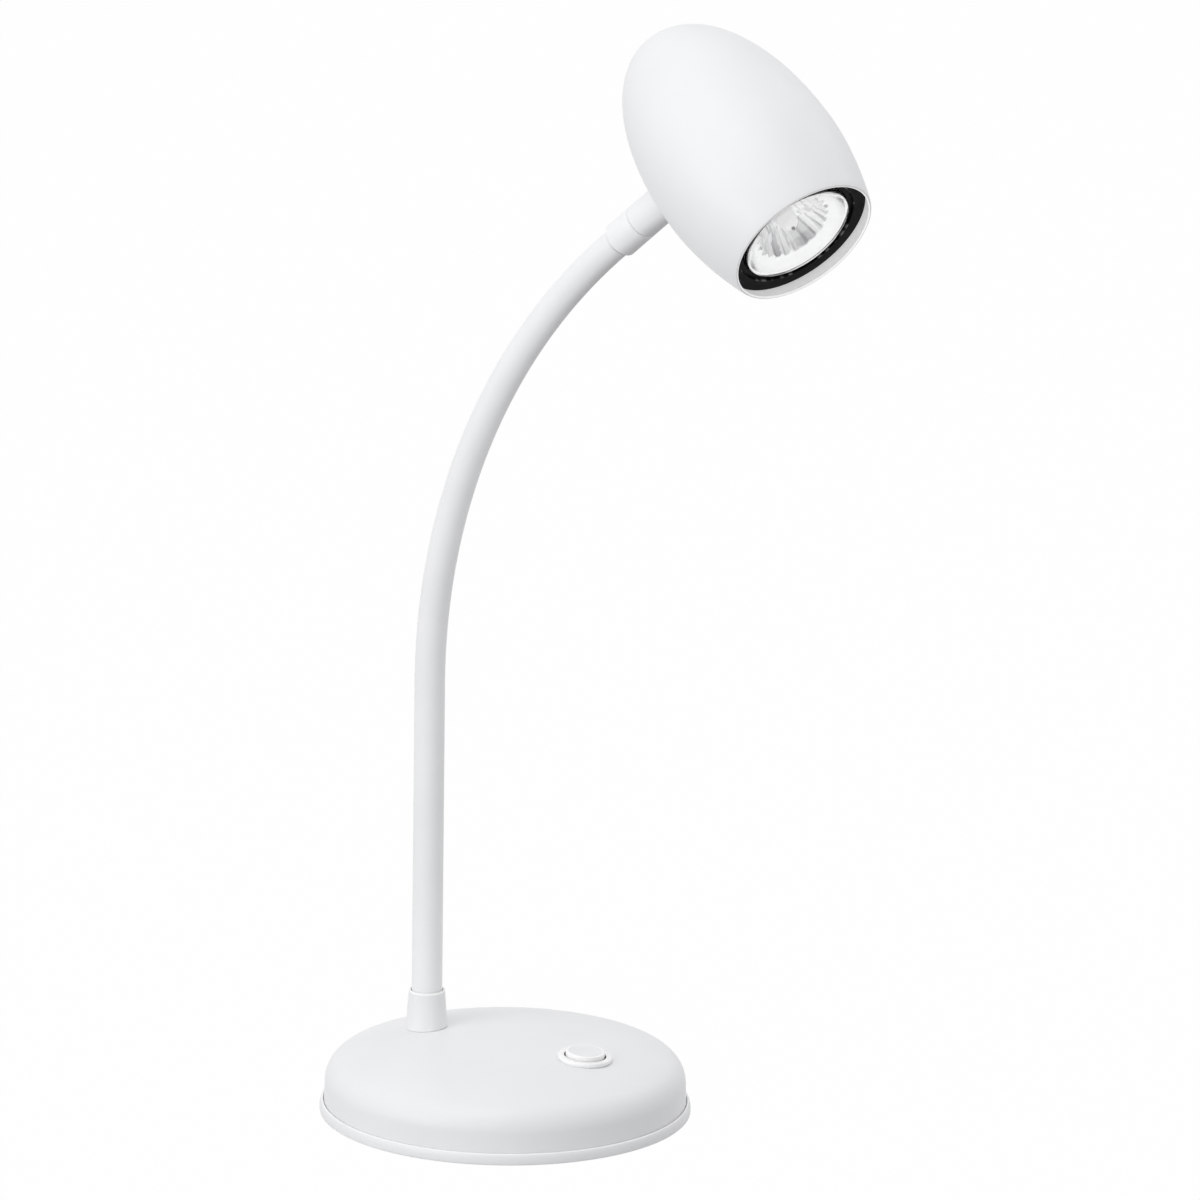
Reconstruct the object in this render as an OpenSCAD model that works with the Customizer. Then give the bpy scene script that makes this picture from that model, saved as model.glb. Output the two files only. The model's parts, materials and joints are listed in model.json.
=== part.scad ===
// Gooseneck desk lamp: a round weighted base with a push button, a flexible neck in a smooth
// sleeve, and an egg-shaped spot head for a twist-lock reflector bulb.
// Millimetres. The origin is the centre of the base on the desk, +Z is up, and +X runs from the
// neck's foot to the push button, which is also the way the neck leans.

/* [Base] */
// Diameter of the bottom plate's rim
base_d = 158; // [146:1:176]
// Height of the base at its centre
base_h = 32; // [30:0.5:38]
// Thickness of the pressed base shell
shell_t = 1.2; // [0.8:0.1:2]
// Step from the plate's rim in to the shell
rim_step = 1.8; // [1.2:0.1:3]
// Height of the plate's rim above the desk
rim_h = 4.3; // [3.8:0.1:5.5]
// Radius of the nearly flat crown
crown_r = 500; // [400:10:800]
// Slope of the dome where the crown turns into the shoulder
crown_slope = 5.16; // [5:0.02:6]
// Radius of the shoulder between the crown and the edge
shoulder_r = 95; // [80:1:110]
// Radius of the shell's rounded edge
edge_r = 12.2; // [9:0.1:14]
// Thickness of the rubber pad under the base
pad_t = 1.2; // [0.9:0.1:2]
// How far the pad stands below the plate
pad_proud = 0.5; // [0.3:0.1:0.8]
// Thickness of the plate's floor
plate_t = 2.5; // [2.4:0.1:3]
// Diameter of the cast weight
weight_d = 120; // [112:1:126]
// Thickness of the cast weight
weight_t = 8.5; // [5:0.5:9]
// Radius of the circle of plate screws
screw_circle_r = 52; // [50:0.5:53]
// Diameter of the mains lead that the inlet takes
lead_d = 6; // [5:0.1:6.8]
// Height of the lead inlet's axis
inlet_z = 11.8; // [11.5:0.1:12.5]

/* [Push button] */
// Distance from the base's centre to the button
switch_x = 40; // [36:0.5:42]
// Outer diameter of the bezel
bezel_d = 23.5; // [22.5:0.1:26]
// Height of the bezel above the dome
bezel_h = 1.8; // [1.2:0.1:2.4]
// Diameter of the push button
button_d = 17; // [14:0.1:17.4]
// Height of the button's face above the dome
button_h = 3.6; // [3.4:0.1:4.5]
// Travel of the push button
button_travel = 1.8; // [1:0.1:2]
// Radial gap between the button and its bezel
button_gap = 0.5; // [0.3:0.05:0.8]

/* [Neck] */
// Distance from the base's centre to the neck
foot_x = 40; // [36:0.5:42]
// Outer diameter of the neck's sleeve
neck_d = 13; // [12.4:0.1:13.6]
// Bore of the neck for the two leads
neck_bore = 7; // [6:0.1:7.4]
// Height of the foot collar
collar_h = 17; // [15:0.5:22]
// Diameter of the foot collar at the dome
collar_d = 17.8; // [17:0.1:20]
// Diameter of the foot collar at its top
collar_top_d = 15.4; // [15.2:0.1:16.6]
// Height where the upright part of the neck ends and its bend begins
bend_start_z = 184; // [160:1:220]
// Radius of the neck's bend
bend_r = 287; // [240:1:340]
// Angle of the whole bend
bend_angle = 46.8; // [36:0.2:60]
// Number of joints in the upright part
upright_joints = 6; // [4:1:7]
// Number of joints in the bend
bend_joints = 8; // [6:1:9]
// Largest angle of one joint
joint_limit = 10; // [7:0.5:12]

/* [Swivel] */
// Diameter of the ferrule and of the head's stub
ferrule_d = 16.1; // [15.8:0.1:17.5]
// Length of the ferrule
ferrule_l = 16.7; // [16.2:0.1:20]
// Length of the ferrule's tapered end
ferrule_taper = 3.5; // [2:0.1:4.5]
// Length of the stub between the ferrule and the shade
stub_l = 21.95; // [16:0.05:30]
// Diameter of the hollow threaded nipples
nipple_d = 10; // [9.4:0.1:10.2]
// Tilt of the shade's axis from the stub's axis
head_tilt = 76.6; // [70:0.2:84]
// Turn of the head on its swivel, as it stands
head_turn = -17.3; // [-40:0.1:40]
// Travel of the swivel between its stops
swivel_travel = 300; // [270:5:310]

/* [Shade] */
// Largest diameter of the shade
shade_d = 82; // [80:0.5:90]
// Diameter of the shade's mouth
mouth_d = 67; // [66:0.5:72]
// Length of the shade
shade_l = 120.6; // [116:0.2:140]
// Distance from the mouth back to the largest diameter
belly_back = 42.6; // [36:0.2:50]
// Distance from the mouth back to the stub's axis
stub_back = 59.6; // [58:0.2:62]
// Thickness of the shade
shade_t = 1.2; // [0.8:0.1:1.6]

/* [Bulb] */
// Diameter of the bulb's front glass
bulb_d = 50.5; // [49:0.1:51]
// Depth of the front glass behind the mouth
bulb_depth = 4.9; // [3.5:0.1:7]
// Length of the reflector behind the glass
reflector_l = 29; // [26:0.5:31]
// Length of the bulb's base
bulb_base_l = 14; // [12:0.5:15]
// Distance between the bulb's two pins
pin_pitch = 10; // [9.5:0.1:10.5]
// Twist that frees the bulb
bulb_twist = 40; // [25:1:45]
// Number of flutes in the reflector
flutes = 20; // [12:1:24]
// Width of the dark ring's step around the bulb
ring_step = 2.6; // [1.5:0.1:3.5]

/* [Hidden] */
$fn = 72;
STRAIGHT = [for (i = [0:upright_joints - 1]) str("neck_segment_", i)];
CURVED = [for (i = [0:bend_joints]) str("neck_segment_", upright_joints + i)];
BASE_NODES = ["base_pad", "base_plate", "base_shell", "ballast_weight", "base_screws",
              "cord_grommet", "switch_bezel", "switch_nut", "switch_body", "switch_spring",
              "push_button", "neck_collar", "foot_nipple", "foot_washer", "foot_nut",
              "base_leads"];
HEAD_NODES = ["neck_ferrule", "swivel_nipple", "swivel_washer", "head_stub", "shade",
              "saddle_washer", "head_nut", "bulb_ring", "holder_bracket", "lampholder",
              "holder_screws", "lamp_leads", "bulb_lens", "bulb_reflector", "bulb_burner",
              "bulb_base", "bulb_pins"];

seat_gap = 0.05;    // between faces of one body that rest on each other
loose_gap = 0.3;    // between parts that move past each other
running_gap = 0.05; // radial, between a shaft and its bore
past = 1;           // how far a cut runs past the face that it opens

white = [0.93, 0.93, 0.93];
black = [0.06, 0.06, 0.07];
steel = [0.70, 0.71, 0.73];
iron = [0.30, 0.30, 0.31];
glass = [0.85, 0.90, 0.93, 0.45];
ceramic = [0.92, 0.90, 0.84];

// ---- Base: heights and radii that its pieces share ----
plate_z = pad_proud;
floor_z = pad_t + plate_t;
seat_z = rim_h - 0.4;
shell_r = base_d / 2 - rim_step;
wall_lean = 0.33;
edge_end = 88;
edge_start = asin((shell_r - wall_lean - (crown_r - shoulder_r) * sin(crown_slope)
                   - edge_r * sin(edge_end)) / (shoulder_r - edge_r));
crown_edge_r = crown_r * sin(crown_slope);
crown_c = [0, base_h - crown_r];
shoulder_c = crown_c + (crown_r - shoulder_r) * heading(crown_slope);
edge_c = shoulder_c + (shoulder_r - edge_r) * heading(edge_start);
post_d = 8;
plate_screw_d = 4;
weight_top_z = floor_z + weight_t;
well_r = 14;
inlet_r = lead_d / 2 + 0.1;
grommet_r = inlet_r + 1.4;
grommet_lip = 1.5;
grommet_tail = 4;

// ---- Push button ----
opening_r = button_d / 2 + button_gap;
barrel_r = opening_r + 0.8;
barrel_l = 12;
switch_tilt = dome_slope(switch_x);
switch_nut_flats = 2 * barrel_r + 3;
switch_nut_r = switch_nut_flats / sqrt(3);
// How far the dome falls away from flat under the nut's outer corner
nut_drop = cos(switch_tilt) * (dome_z(switch_x) - dome_z(switch_x + switch_nut_r))
    - switch_nut_r * sin(switch_tilt);
block_l = 7;
block_top = 10;
block_w = 14;
plunger_r = 3;
plunger_end = -block_top - 2.5;
skirt_end = -block_top + button_travel + 4.2;
spring_wire_r = 0.35;
spring_turns = 5;

// ---- Neck ----
neck_r = neck_d / 2;
foot_z = dome_z(foot_x);
boss_z = dome_z(foot_x) - 3.6;
collar_floor = 3.5;
nut_t = 4;
nipple_r = nipple_d / 2;
wire_r = 1.05;
wire_y = 1.5;
ball_r = neck_r - 0.8;
ball_gap = 0.12;
joint_groove = neck_r * sin(joint_limit) + 0.15;
first_joint_z = foot_z + collar_h + 14.5;
pitch = (bend_start_z - first_joint_z) / (upright_joints - 1);
sector = bend_angle / (bend_joints + 1);
nut_flats = 14;

// ---- Swivel ----
front_power = 1.83; // how the shade's front draws in towards the mouth
rear_power = 2.13;  // how full the shade's rear is, 2 being an ellipse
seam = 0.15;
grip_l = 9.3;
sleeve_tuck = 2;
web_t = 3.4;
flange_t = 2;
washer_t = 0.45;
flange_r = nipple_r + 0.9;
ferrule_bore_r = neck_r + 0.1;
stop_angle = (360 - swivel_travel) / 2;
shade_reach = max([for (p = shade_outline(0)) p.x * sin(head_tilt) - p.y * cos(head_tilt)]);
head_x = ferrule_l + stub_l + seat_gap + shade_reach;
foot_t = shade_reach - shade_t - 4.37; // room for the saddle washer and the curve of the wall
nipple_tip = foot_t - 6.4;
stub_end = ferrule_l + stub_l;

// ---- Shade and bulb, along the shade's axis from the stub's axis to the mouth ----
lens_z = stub_back - bulb_depth;
lens_t = 2;
reflector_z = lens_z - lens_t - reflector_l;
base_back_z = reflector_z - bulb_base_l;
holder_z = base_back_z - loose_gap;
pin_r = 2.5;
pin_l = 7;
slot_gap = 0.35;
holder_r = 12;
bracket_t = 1.2;
bracket_w = 14;
bracket_z = -16;
lead_in_z = bracket_z + 4.5;
holder_screw_x = 7;
ring_z = stub_back - 5.8;
ring_t = 1.4;
ring_skirt = 9;

// A unit vector at an angle from straight up, in a plane of radius and height
function heading(a) = [sin(a), cos(a)];

// Slope of the dome's top at a distance from the base's centre
function dome_slope(r) =
    r <= crown_edge_r ? asin(r / crown_r) : asin((r - shoulder_c.x) / shoulder_r);

// Height of the dome's top there
function dome_z(r) =
    r <= crown_edge_r ? crown_c.y + crown_r * cos(dome_slope(r))
                      : shoulder_c.y + shoulder_r * cos(dome_slope(r));

// The dome's outline from its centre down to the plate, set inward by a distance
function dome_outline(inset, low_z) = concat(
    [for (i = [0:8]) crown_c + (crown_r - inset) * heading(crown_slope * i / 8)],
    [for (i = [1:8])
        shoulder_c + (shoulder_r - inset) * heading(crown_slope + (edge_start - crown_slope) * i / 8)],
    [for (i = [1:14])
        edge_c + (edge_r - inset) * heading(edge_start + (edge_end - edge_start) * i / 14)],
    [[shell_r - inset, low_z]]);

// The shade's outline from its mouth to its tip, set inward by a distance
function shade_outline(inset) = concat(
    [for (i = [0:12]) let (s = belly_back * i / 12)
        [shade_d / 2 - inset - (shade_d - mouth_d) / 2 * pow(1 - s / belly_back, front_power),
         stub_back - s]],
    [for (i = [1:22]) let (a = 90 * i / 22)
        [(shade_d / 2 - inset) * pow(cos(a), 2 / rear_power),
         stub_back - belly_back - (shade_l - belly_back - inset) * pow(sin(a), 2 / rear_power)]]);

// Radius of the shade's outside at a height within its front part
function shade_front_r(z) =
    shade_d / 2 - (shade_d - mouth_d) / 2 * pow(1 - (stub_back - z) / belly_back, front_power);

function backwards(list) = [for (i = [len(list) - 1:-1:0]) list[i]];
function unit(v) = v / norm(v);

// A point on a smooth curve through four neighbouring points
function between(p, q, r, s, t) =
    0.5 * (2 * q + (r - p) * t + (2 * p - 5 * q + 4 * r - s) * t * t
           + (3 * q - p - 3 * r + s) * t * t * t);

// A smooth route through points chosen by hand
function smooth_route(stops, steps) = let (n = len(stops)) concat(
    [for (i = [0:n - 2], k = [0:steps - 1])
        between(stops[max(i - 1, 0)], stops[i], stops[i + 1], stops[min(i + 2, n - 1)], k / steps)],
    [stops[n - 1]]);

// ---- Shapes and places that several pieces use ----

// A round wire along a route; side is a direction that the route never takes
module wire(route, r, sides, side) {
    n = len(route);
    rings = [for (i = [0:n - 1])
        let (t = unit(route[min(i + 1, n - 1)] - route[max(i - 1, 0)]),
             u = unit(cross(t, side)),
             v = cross(t, u))
        for (k = [0:sides - 1])
            route[i] + r * (u * cos(360 * k / sides) + v * sin(360 * k / sides))];
    walls = [for (i = [0:n - 2], k = [0:sides - 1])
        let (a = i * sides + k, b = i * sides + (k + 1) % sides)
        each [[a, a + sides, b + sides], [a, b + sides, b]]];
    ends = [for (k = [1:sides - 2])
        each [[0, k, k + 1],
              [(n - 1) * sides, (n - 1) * sides + k + 1, (n - 1) * sides + k]]];
    polyhedron(rings, concat(walls, ends));
}

// A flat round ring
module washer(outer_r, inner_r, t) {
    difference() {
        cylinder(r = outer_r, h = t);
        translate([0, 0, -past]) cylinder(r = inner_r, h = t + 2 * past);
    }
}

// A hexagon nut with chamfered corners
module hex_nut(flats, bore_r, t) {
    corner_r = flats / sqrt(3);
    difference() {
        intersection() {
            cylinder(r = corner_r, h = t, $fn = 6);
            rotate_extrude()
                polygon([[0, 0], [corner_r - 0.5, 0], [corner_r, 0.5], [corner_r, t - 0.5],
                         [corner_r - 0.5, t], [0, t]]);
        }
        translate([0, 0, -past]) cylinder(r = bore_r, h = t + 2 * past);
    }
}

// The base's dome as a full solid, grown outward by a distance
module dome_solid(grow) {
    rotate_extrude() polygon(concat([[0, 0]], dome_outline(-grow, seat_z), [[shell_r + grow, 0]]));
}

// The shade's outside as a full solid, set inward by a distance
module shade_solid(inset) {
    rotate_extrude() polygon(concat([[0, stub_back]], shade_outline(inset)));
}

module at_foot() translate([-foot_x, 0, 0]) children();

module at_switch()
    translate([switch_x, 0, dome_z(switch_x)]) rotate([0, switch_tilt, 0]) children();

// A place on the neck's bend, with Z along the neck
module on_bend(angle)
    translate([-foot_x + bend_r * (1 - cos(angle)), 0, bend_start_z + bend_r * sin(angle)])
        rotate([0, angle, 0]) children();

module at_neck_end() on_bend(bend_angle) children();

// Where the stub's axis meets the shade's, with Z out of the shade's mouth
module at_head()
    at_neck_end() translate([0, 0, head_x]) rotate([0, 0, head_turn]) rotate([0, head_tilt, 0])
        children();

// On the stub's axis inside the head, with Z from the shade's axis out to the stub
module on_stub_axis() rotate([0, -head_tilt, 0]) mirror([0, 0, 1]) children();

module screw_places() for (i = [0:2]) rotate([0, 0, 90 + 120 * i])
    translate([screw_circle_r, 0, 0]) children();

// ---- Base ----

// Rubber pad that the lamp stands on
module base_pad() {
    color(black) cylinder(r = base_d / 2 - 5, h = pad_t);
}

// Bottom plate: a rounded rim, a groove for the shell's edge and a rib inside it
module base_plate() {
    rim_r = base_d / 2;
    round_r = 1.4;
    rib_r = shell_r - shell_t - 0.3;
    color(white) difference() {
        rotate_extrude()
            polygon(concat(
                [[0, plate_z], [rim_r - 0.6, plate_z], [rim_r, plate_z + 0.6]],
                [for (a = [0:15:90])
                    [rim_r - round_r + round_r * cos(a), rim_h - round_r + round_r * sin(a)]],
                [[shell_r + 0.3, rim_h], [shell_r + 0.3, seat_z], [rib_r, seat_z],
                 [rib_r, seat_z + 1.6], [rib_r - 1.4, seat_z + 1.6], [rib_r - 1.4, floor_z],
                 [0, floor_z]]));
        translate([0, 0, -past]) cylinder(r = base_d / 2 - 5 + loose_gap, h = pad_t + past);
        screw_places() {
            cylinder(r = plate_screw_d / 2 + 0.2, h = floor_z + past);
            translate([0, 0, pad_t - 0.01])
                cylinder(r1 = plate_screw_d + 0.25, r2 = plate_screw_d / 2 + 0.2,
                         h = plate_screw_d / 2 + 0.05);
        }
    }
}

// Pressed shell: the dome, a thick boss under the neck and three posts for the plate's screws
module base_shell() {
    color(white) difference() {
        union() {
            rotate_extrude()
                polygon(concat(dome_outline(0, seat_z), backwards(dome_outline(shell_t, seat_z))));
            intersection() {
                dome_solid(-shell_t / 2);
                union() {
                    at_foot() translate([0, 0, boss_z]) cylinder(r = 11, h = base_h);
                    screw_places() translate([0, 0, weight_top_z + seat_gap])
                        cylinder(d = post_d, h = base_h);
                }
            }
        }
        at_foot() cylinder(r = nipple_r + 0.15, h = 2 * base_h);
        at_switch() translate([0, 0, -base_h / 2]) cylinder(r = barrel_r + 0.15, h = base_h);
        translate([-shell_r - past, 0, inlet_z]) rotate([0, 90, 0])
            cylinder(r = grommet_r + seat_gap, h = 8);
        screw_places() translate([0, 0, weight_top_z - past])
            cylinder(r = plate_screw_d / 2 + seat_gap, h = 10);
    }
}

// Cast disc that keeps the lamp from tipping, with a well for the switch and screw holes
module ballast_weight() {
    edge = 1.5;
    color(iron) difference() {
        translate([0, 0, floor_z]) rotate_extrude()
            polygon([[0, 0], [weight_d / 2 - edge / 2, 0], [weight_d / 2, edge / 2],
                     [weight_d / 2, weight_t - edge], [weight_d / 2 - edge, weight_t],
                     [0, weight_t]]);
        translate([switch_x, 0, 0]) cylinder(r = well_r, h = base_h);
        screw_places() cylinder(r = plate_screw_d / 2 + 0.5, h = base_h);
    }
}

// Three countersunk screws, up through the plate and the weight into the shell's posts
module base_screws() {
    r = plate_screw_d / 2;
    color(steel) screw_places() difference() {
        union() {
            translate([0, 0, pad_t + 0.15]) cylinder(r1 = 2 * r, r2 = r, h = r);
            translate([0, 0, pad_t + 0.15]) cylinder(r = r, h = floor_z + weight_t + 5.5 - pad_t);
        }
        translate([0, 0, pad_t]) rotate([0, 0, 45]) cube([1, 4.4, 2], center = true);
        translate([0, 0, pad_t]) rotate([0, 0, -45]) cube([1, 4.4, 2], center = true);
    }
}

// Rubber inlet for the mains lead at the back of the base
module cord_grommet() {
    lip_r = grommet_r + 1.6;
    out_x = shell_r + grommet_lip;
    behind = grommet_lip + shell_t;
    color(black) translate([-out_x, 0, inlet_z]) rotate([0, 90, 0]) difference() {
        union() {
            difference() {
                rotate_extrude()
                    polygon([[0, 0], [lip_r - 0.6, 0], [lip_r, 0.6], [lip_r, 4], [0, 4]]);
                translate([inlet_z, 0, out_x]) rotate([0, -90, 0]) dome_solid(seat_gap);
            }
            cylinder(r = grommet_r, h = behind + 1);
            intersection() {
                translate([0, 0, behind]) rotate_extrude()
                    polygon([[0, 0], [lip_r, 0], [lip_r, 2], [grommet_r, 2],
                             [grommet_r - 0.4, 2 + grommet_tail], [0, 2 + grommet_tail]]);
                translate([inlet_z, 0, out_x]) rotate([0, -90, 0])
                    dome_solid(-shell_t - seat_gap);
            }
        }
        translate([0, 0, -past]) cylinder(r = inlet_r, h = behind + 3 + grommet_tail + past);
    }
}

// ---- Push button ----

// Bezel ring with the threaded barrel that holds the switch in the dome
module switch_bezel() {
    r = bezel_d / 2;
    round_r = 1.1;
    color(white) at_switch() difference() {
        union() {
            difference() {
                rotate_extrude()
                    polygon(concat(
                        [[0, -past], [r, -past], [r, bezel_h - round_r]],
                        [for (a = [15:15:90])
                            [r - round_r + round_r * cos(a), bezel_h - round_r + round_r * sin(a)]],
                        [[0, bezel_h]]));
                rotate([0, -switch_tilt, 0]) translate([-switch_x, 0, -dome_z(switch_x)])
                    dome_solid(seat_gap);
            }
            translate([0, 0, -barrel_l]) cylinder(r = barrel_r, h = barrel_l + past);
        }
        translate([0, 0, -barrel_l - past]) cylinder(r = opening_r, h = 3 * barrel_l);
        translate([0, 0, bezel_h - 0.4]) cylinder(r1 = opening_r, r2 = opening_r + 0.6, h = 0.6);
    }
}

// Nut on the barrel, under the dome
module switch_nut() {
    color(steel) at_switch() translate([0, 0, -shell_t - nut_drop - 0.2 - nut_t])
        hex_nut(switch_nut_flats, barrel_r + running_gap, nut_t);
}

// Contact block in the barrel's end, with two blade terminals
module switch_body() {
    color(black) at_switch() difference() {
        union() {
            translate([0, 0, -barrel_l - past]) cylinder(r = opening_r - seat_gap,
                                                         h = barrel_l + past - block_top);
            translate([-block_w / 2, -8, -barrel_l - block_l]) cube([block_w, 16, block_l - seat_gap]);
            for (y = [-4, 4]) translate([-3.15, y - 0.4, -barrel_l - block_l - 4.5])
                cube([6.3, 0.8, 5]);
        }
        translate([0, 0, plunger_end - button_travel - 0.7])
            cylinder(r = plunger_r + 0.08, h = block_l + barrel_l);
    }
}

// Return spring round the plunger
module switch_spring() {
    low = -block_top + spring_wire_r + seat_gap;
    high = button_h - 2.4 - spring_wire_r;
    steps = 12;
    route = [for (i = [0:spring_turns * steps])
        [5 * cos(360 * i / steps), 5 * sin(360 * i / steps),
         low + (high - low) * i / (spring_turns * steps)]];
    echo(least_gap_between_coils = (high - low) / spring_turns - 2 * spring_wire_r);
    color(steel) at_switch() wire(route, spring_wire_r, 6, [0, 0, 1]);
}

// Push button: a domed cap with a skirt and the plunger on its axis
module push_button() {
    r = button_d / 2;
    round_r = 0.9;
    color(white) at_switch() rotate_extrude()
        polygon(concat(
            [[0, button_h - 0.15], [r * 0.6, button_h - 0.1]],
            [for (a = [90:-15:0])
                [r - round_r + round_r * cos(a), button_h - round_r + round_r * sin(a)]],
            [[r, skirt_end], [r - 1.3, skirt_end], [r - 1.3, button_h - 2.3],
             [plunger_r, button_h - 2.3], [plunger_r, plunger_end], [0, plunger_end]]));
}

// ---- Neck foot ----

// Tapered collar that covers the neck's foot, fitted to the dome
module neck_collar() {
    top_z = foot_z + collar_h;
    low_r = collar_d / 2;
    top_r = collar_top_d / 2;
    bore_r = neck_r + 0.4;
    color(white) difference() {
        at_foot() rotate_extrude()
            polygon([[nipple_r + running_gap, foot_z - 2], [low_r, foot_z - 2], [low_r, foot_z],
                     [top_r + 0.05, top_z - 0.5], [top_r - 0.25, top_z], [bore_r + 0.1, top_z],
                     [bore_r, top_z - 0.4], [bore_r, foot_z + collar_floor],
                     [nipple_r + running_gap, foot_z + collar_floor]]);
        dome_solid(seat_gap);
    }
}

// Hollow threaded nipple that clamps the neck to the shell
module foot_nipple() {
    low_z = boss_z - 1 - nut_t - 2;
    color(steel) at_foot() difference() {
        translate([0, 0, low_z]) cylinder(r = nipple_r, h = foot_z + collar_h - 3.4 - low_z);
        translate([0, 0, low_z - past]) cylinder(d = neck_bore, h = base_h + collar_h);
    }
}

module foot_washer() {
    color(steel) at_foot() translate([0, 0, boss_z - seat_gap - 1])
        washer(nipple_r + 4.6, nipple_r + 0.15, 1);
}

module foot_nut() {
    color(steel) at_foot() translate([0, 0, boss_z - 2 * seat_gap - 1 - nut_t])
        hex_nut(nut_flats, nipple_r + running_gap, nut_t);
}

// ---- Neck: short lengths of sleeve and wound core, each with a socket and a ball ----

// The socket that takes the ball of the length below
module socket() sphere(r = ball_r + ball_gap);

// A bent round bar of a radius, between two angles of the neck's bend
module bend_bar(r, from, to)
    translate([bend_r, 0, 0]) rotate([90, 0, 180]) rotate([0, 0, from])
        rotate_extrude(angle = to - from) translate([bend_r, 0]) circle(r = r);

// A length in the upright part; the first one stands in the foot collar and has no socket
module upright_segment(i) {
    low_z = i == 0 ? foot_z + collar_floor + seat_gap : first_joint_z + (i - 1) * pitch;
    top_z = first_joint_z + i * pitch;
    nipple_top = foot_z + collar_h - 3.4;
    color(white) at_foot() difference() {
        union() {
            translate([0, 0, low_z]) cylinder(r = neck_r, h = top_z - joint_groove - low_z);
            translate([0, 0, top_z]) sphere(r = ball_r);
        }
        if (i > 0) translate([0, 0, low_z]) socket();
        else translate([0, 0, low_z - past])
            cylinder(r = nipple_r + 0.1, h = nipple_top + 0.3 - low_z + past);
        translate([0, 0, low_z - past]) cylinder(d = neck_bore, h = top_z - low_z + 10);
    }
}

// A length in the bend; the last one ends in a bare core for the ferrule instead of a ball
module bent_segment(i) {
    last = i == bend_joints;
    sleeve_end = sector + (last ? sleeve_tuck : -joint_groove) / bend_r * 180 / PI;
    color(white) on_bend(i * sector) difference() {
        union() {
            bend_bar(neck_r, 0, sleeve_end);
            at_next_joint() {
                if (last) translate([0, 0, -past]) cylinder(r = neck_r - 0.6, h = grip_l + past);
                else sphere(r = ball_r);
            }
        }
        socket();
        bend_bar(neck_bore / 2, -2, sector + (last ? 0 : 2));
        if (last) at_next_joint() translate([0, 0, -past / 2])
            cylinder(d = neck_bore - 0.2, h = grip_l + 2 * past);
    }
}

module at_next_joint()
    translate([bend_r * (1 - cos(sector)), 0, bend_r * sin(sector)]) rotate([0, sector, 0])
        children();

// ---- Swivel between neck and head ----

// Ferrule glued on the neck's end; its web holds the nipple's flange and its rib stops the turn
module neck_ferrule() {
    r = ferrule_d / 2;
    top = ferrule_l - seam;
    color(white) at_neck_end() {
        rotate_extrude()
            polygon([[ferrule_bore_r, 0], [ferrule_bore_r + 0.35, 0], [r - 0.15, ferrule_taper - 0.3],
                     [r, ferrule_taper], [r, top - 0.2], [r - 0.2, top],
                     [nipple_r + running_gap, top], [nipple_r + running_gap, top - web_t],
                     [ferrule_bore_r, top - web_t]]);
        translate([0, 0, top - web_t - 3]) rotate([0, 0, head_turn - stop_angle / 2 + 180])
            rotate_extrude(angle = stop_angle)
                translate([flange_r + 0.15, 0])
                    square([ferrule_bore_r - flange_r + 0.4, 3.2]);
    }
}

// Hollow nipple that carries the head and turns in the ferrule
module swivel_nipple() {
    top = ferrule_l - seam - web_t - 2 * seat_gap - washer_t;
    length = head_x - nipple_tip - (top - flange_t);
    color(steel) at_neck_end() rotate([0, 0, head_turn]) difference() {
        union() {
            translate([0, 0, top - flange_t]) cylinder(r = nipple_r, h = length);
            translate([0, 0, top - flange_t]) cylinder(r = flange_r, h = flange_t);
            translate([0, 0, top - flange_t]) rotate([0, 0, -stop_angle / 2])
                rotate_extrude(angle = stop_angle)
                    translate([nipple_r, 0]) square([ferrule_bore_r - nipple_r - 0.2, flange_t]);
        }
        translate([0, 0, top - flange_t - past]) cylinder(d = neck_bore, h = length + 2 * past);
    }
}

module swivel_washer() {
    color(steel) at_neck_end()
        translate([0, 0, ferrule_l - seam - web_t - seat_gap - washer_t])
            washer(flange_r, nipple_r + 0.1, washer_t);
}

// Stub between the ferrule and the shade, square at its end as the shade swells past it
module head_stub() {
    r = ferrule_d / 2;
    color(white) at_neck_end() rotate_extrude()
        polygon([[nipple_r + 0.1, ferrule_l], [r - 0.2, ferrule_l], [r, ferrule_l + 0.2],
                 [r, stub_end], [nipple_r + 0.1, stub_end]]);
}

// ---- Head ----

// Spun egg-shaped shade with a rounded lip and a hole for the nipple
module shade() {
    lip_r = shade_t / 2;
    outer = shade_outline(0);
    inner = shade_outline(shade_t);
    color(white) at_head() difference() {
        rotate_extrude()
            polygon(concat(
                [for (a = [165:-15:15])
                    [mouth_d / 2 - lip_r + lip_r * cos(a), stub_back - lip_r + lip_r * sin(a)]],
                [for (i = [1:len(outer) - 1]) outer[i]],
                backwards([for (i = [1:len(inner) - 1]) inner[i]])));
        on_stub_axis() translate([0, 0, foot_t]) cylinder(r = nipple_r + 0.2, h = shade_d / 4);
    }
}

// Washer shaped to the inside of the shade, between the wall and the bracket
module saddle_washer() {
    color(steel) at_head() intersection() {
        on_stub_axis() translate([0, 0, foot_t + bracket_t / 2 + seat_gap])
            washer(nipple_r + 3, nipple_r + 0.15, shade_reach - foot_t);
        shade_solid(shade_t + 0.1);
    }
}

module head_nut() {
    color(steel) at_head() on_stub_axis()
        translate([0, 0, foot_t - bracket_t / 2 - seat_gap - nut_t])
            hex_nut(nut_flats, nipple_r + running_gap, nut_t);
}

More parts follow.
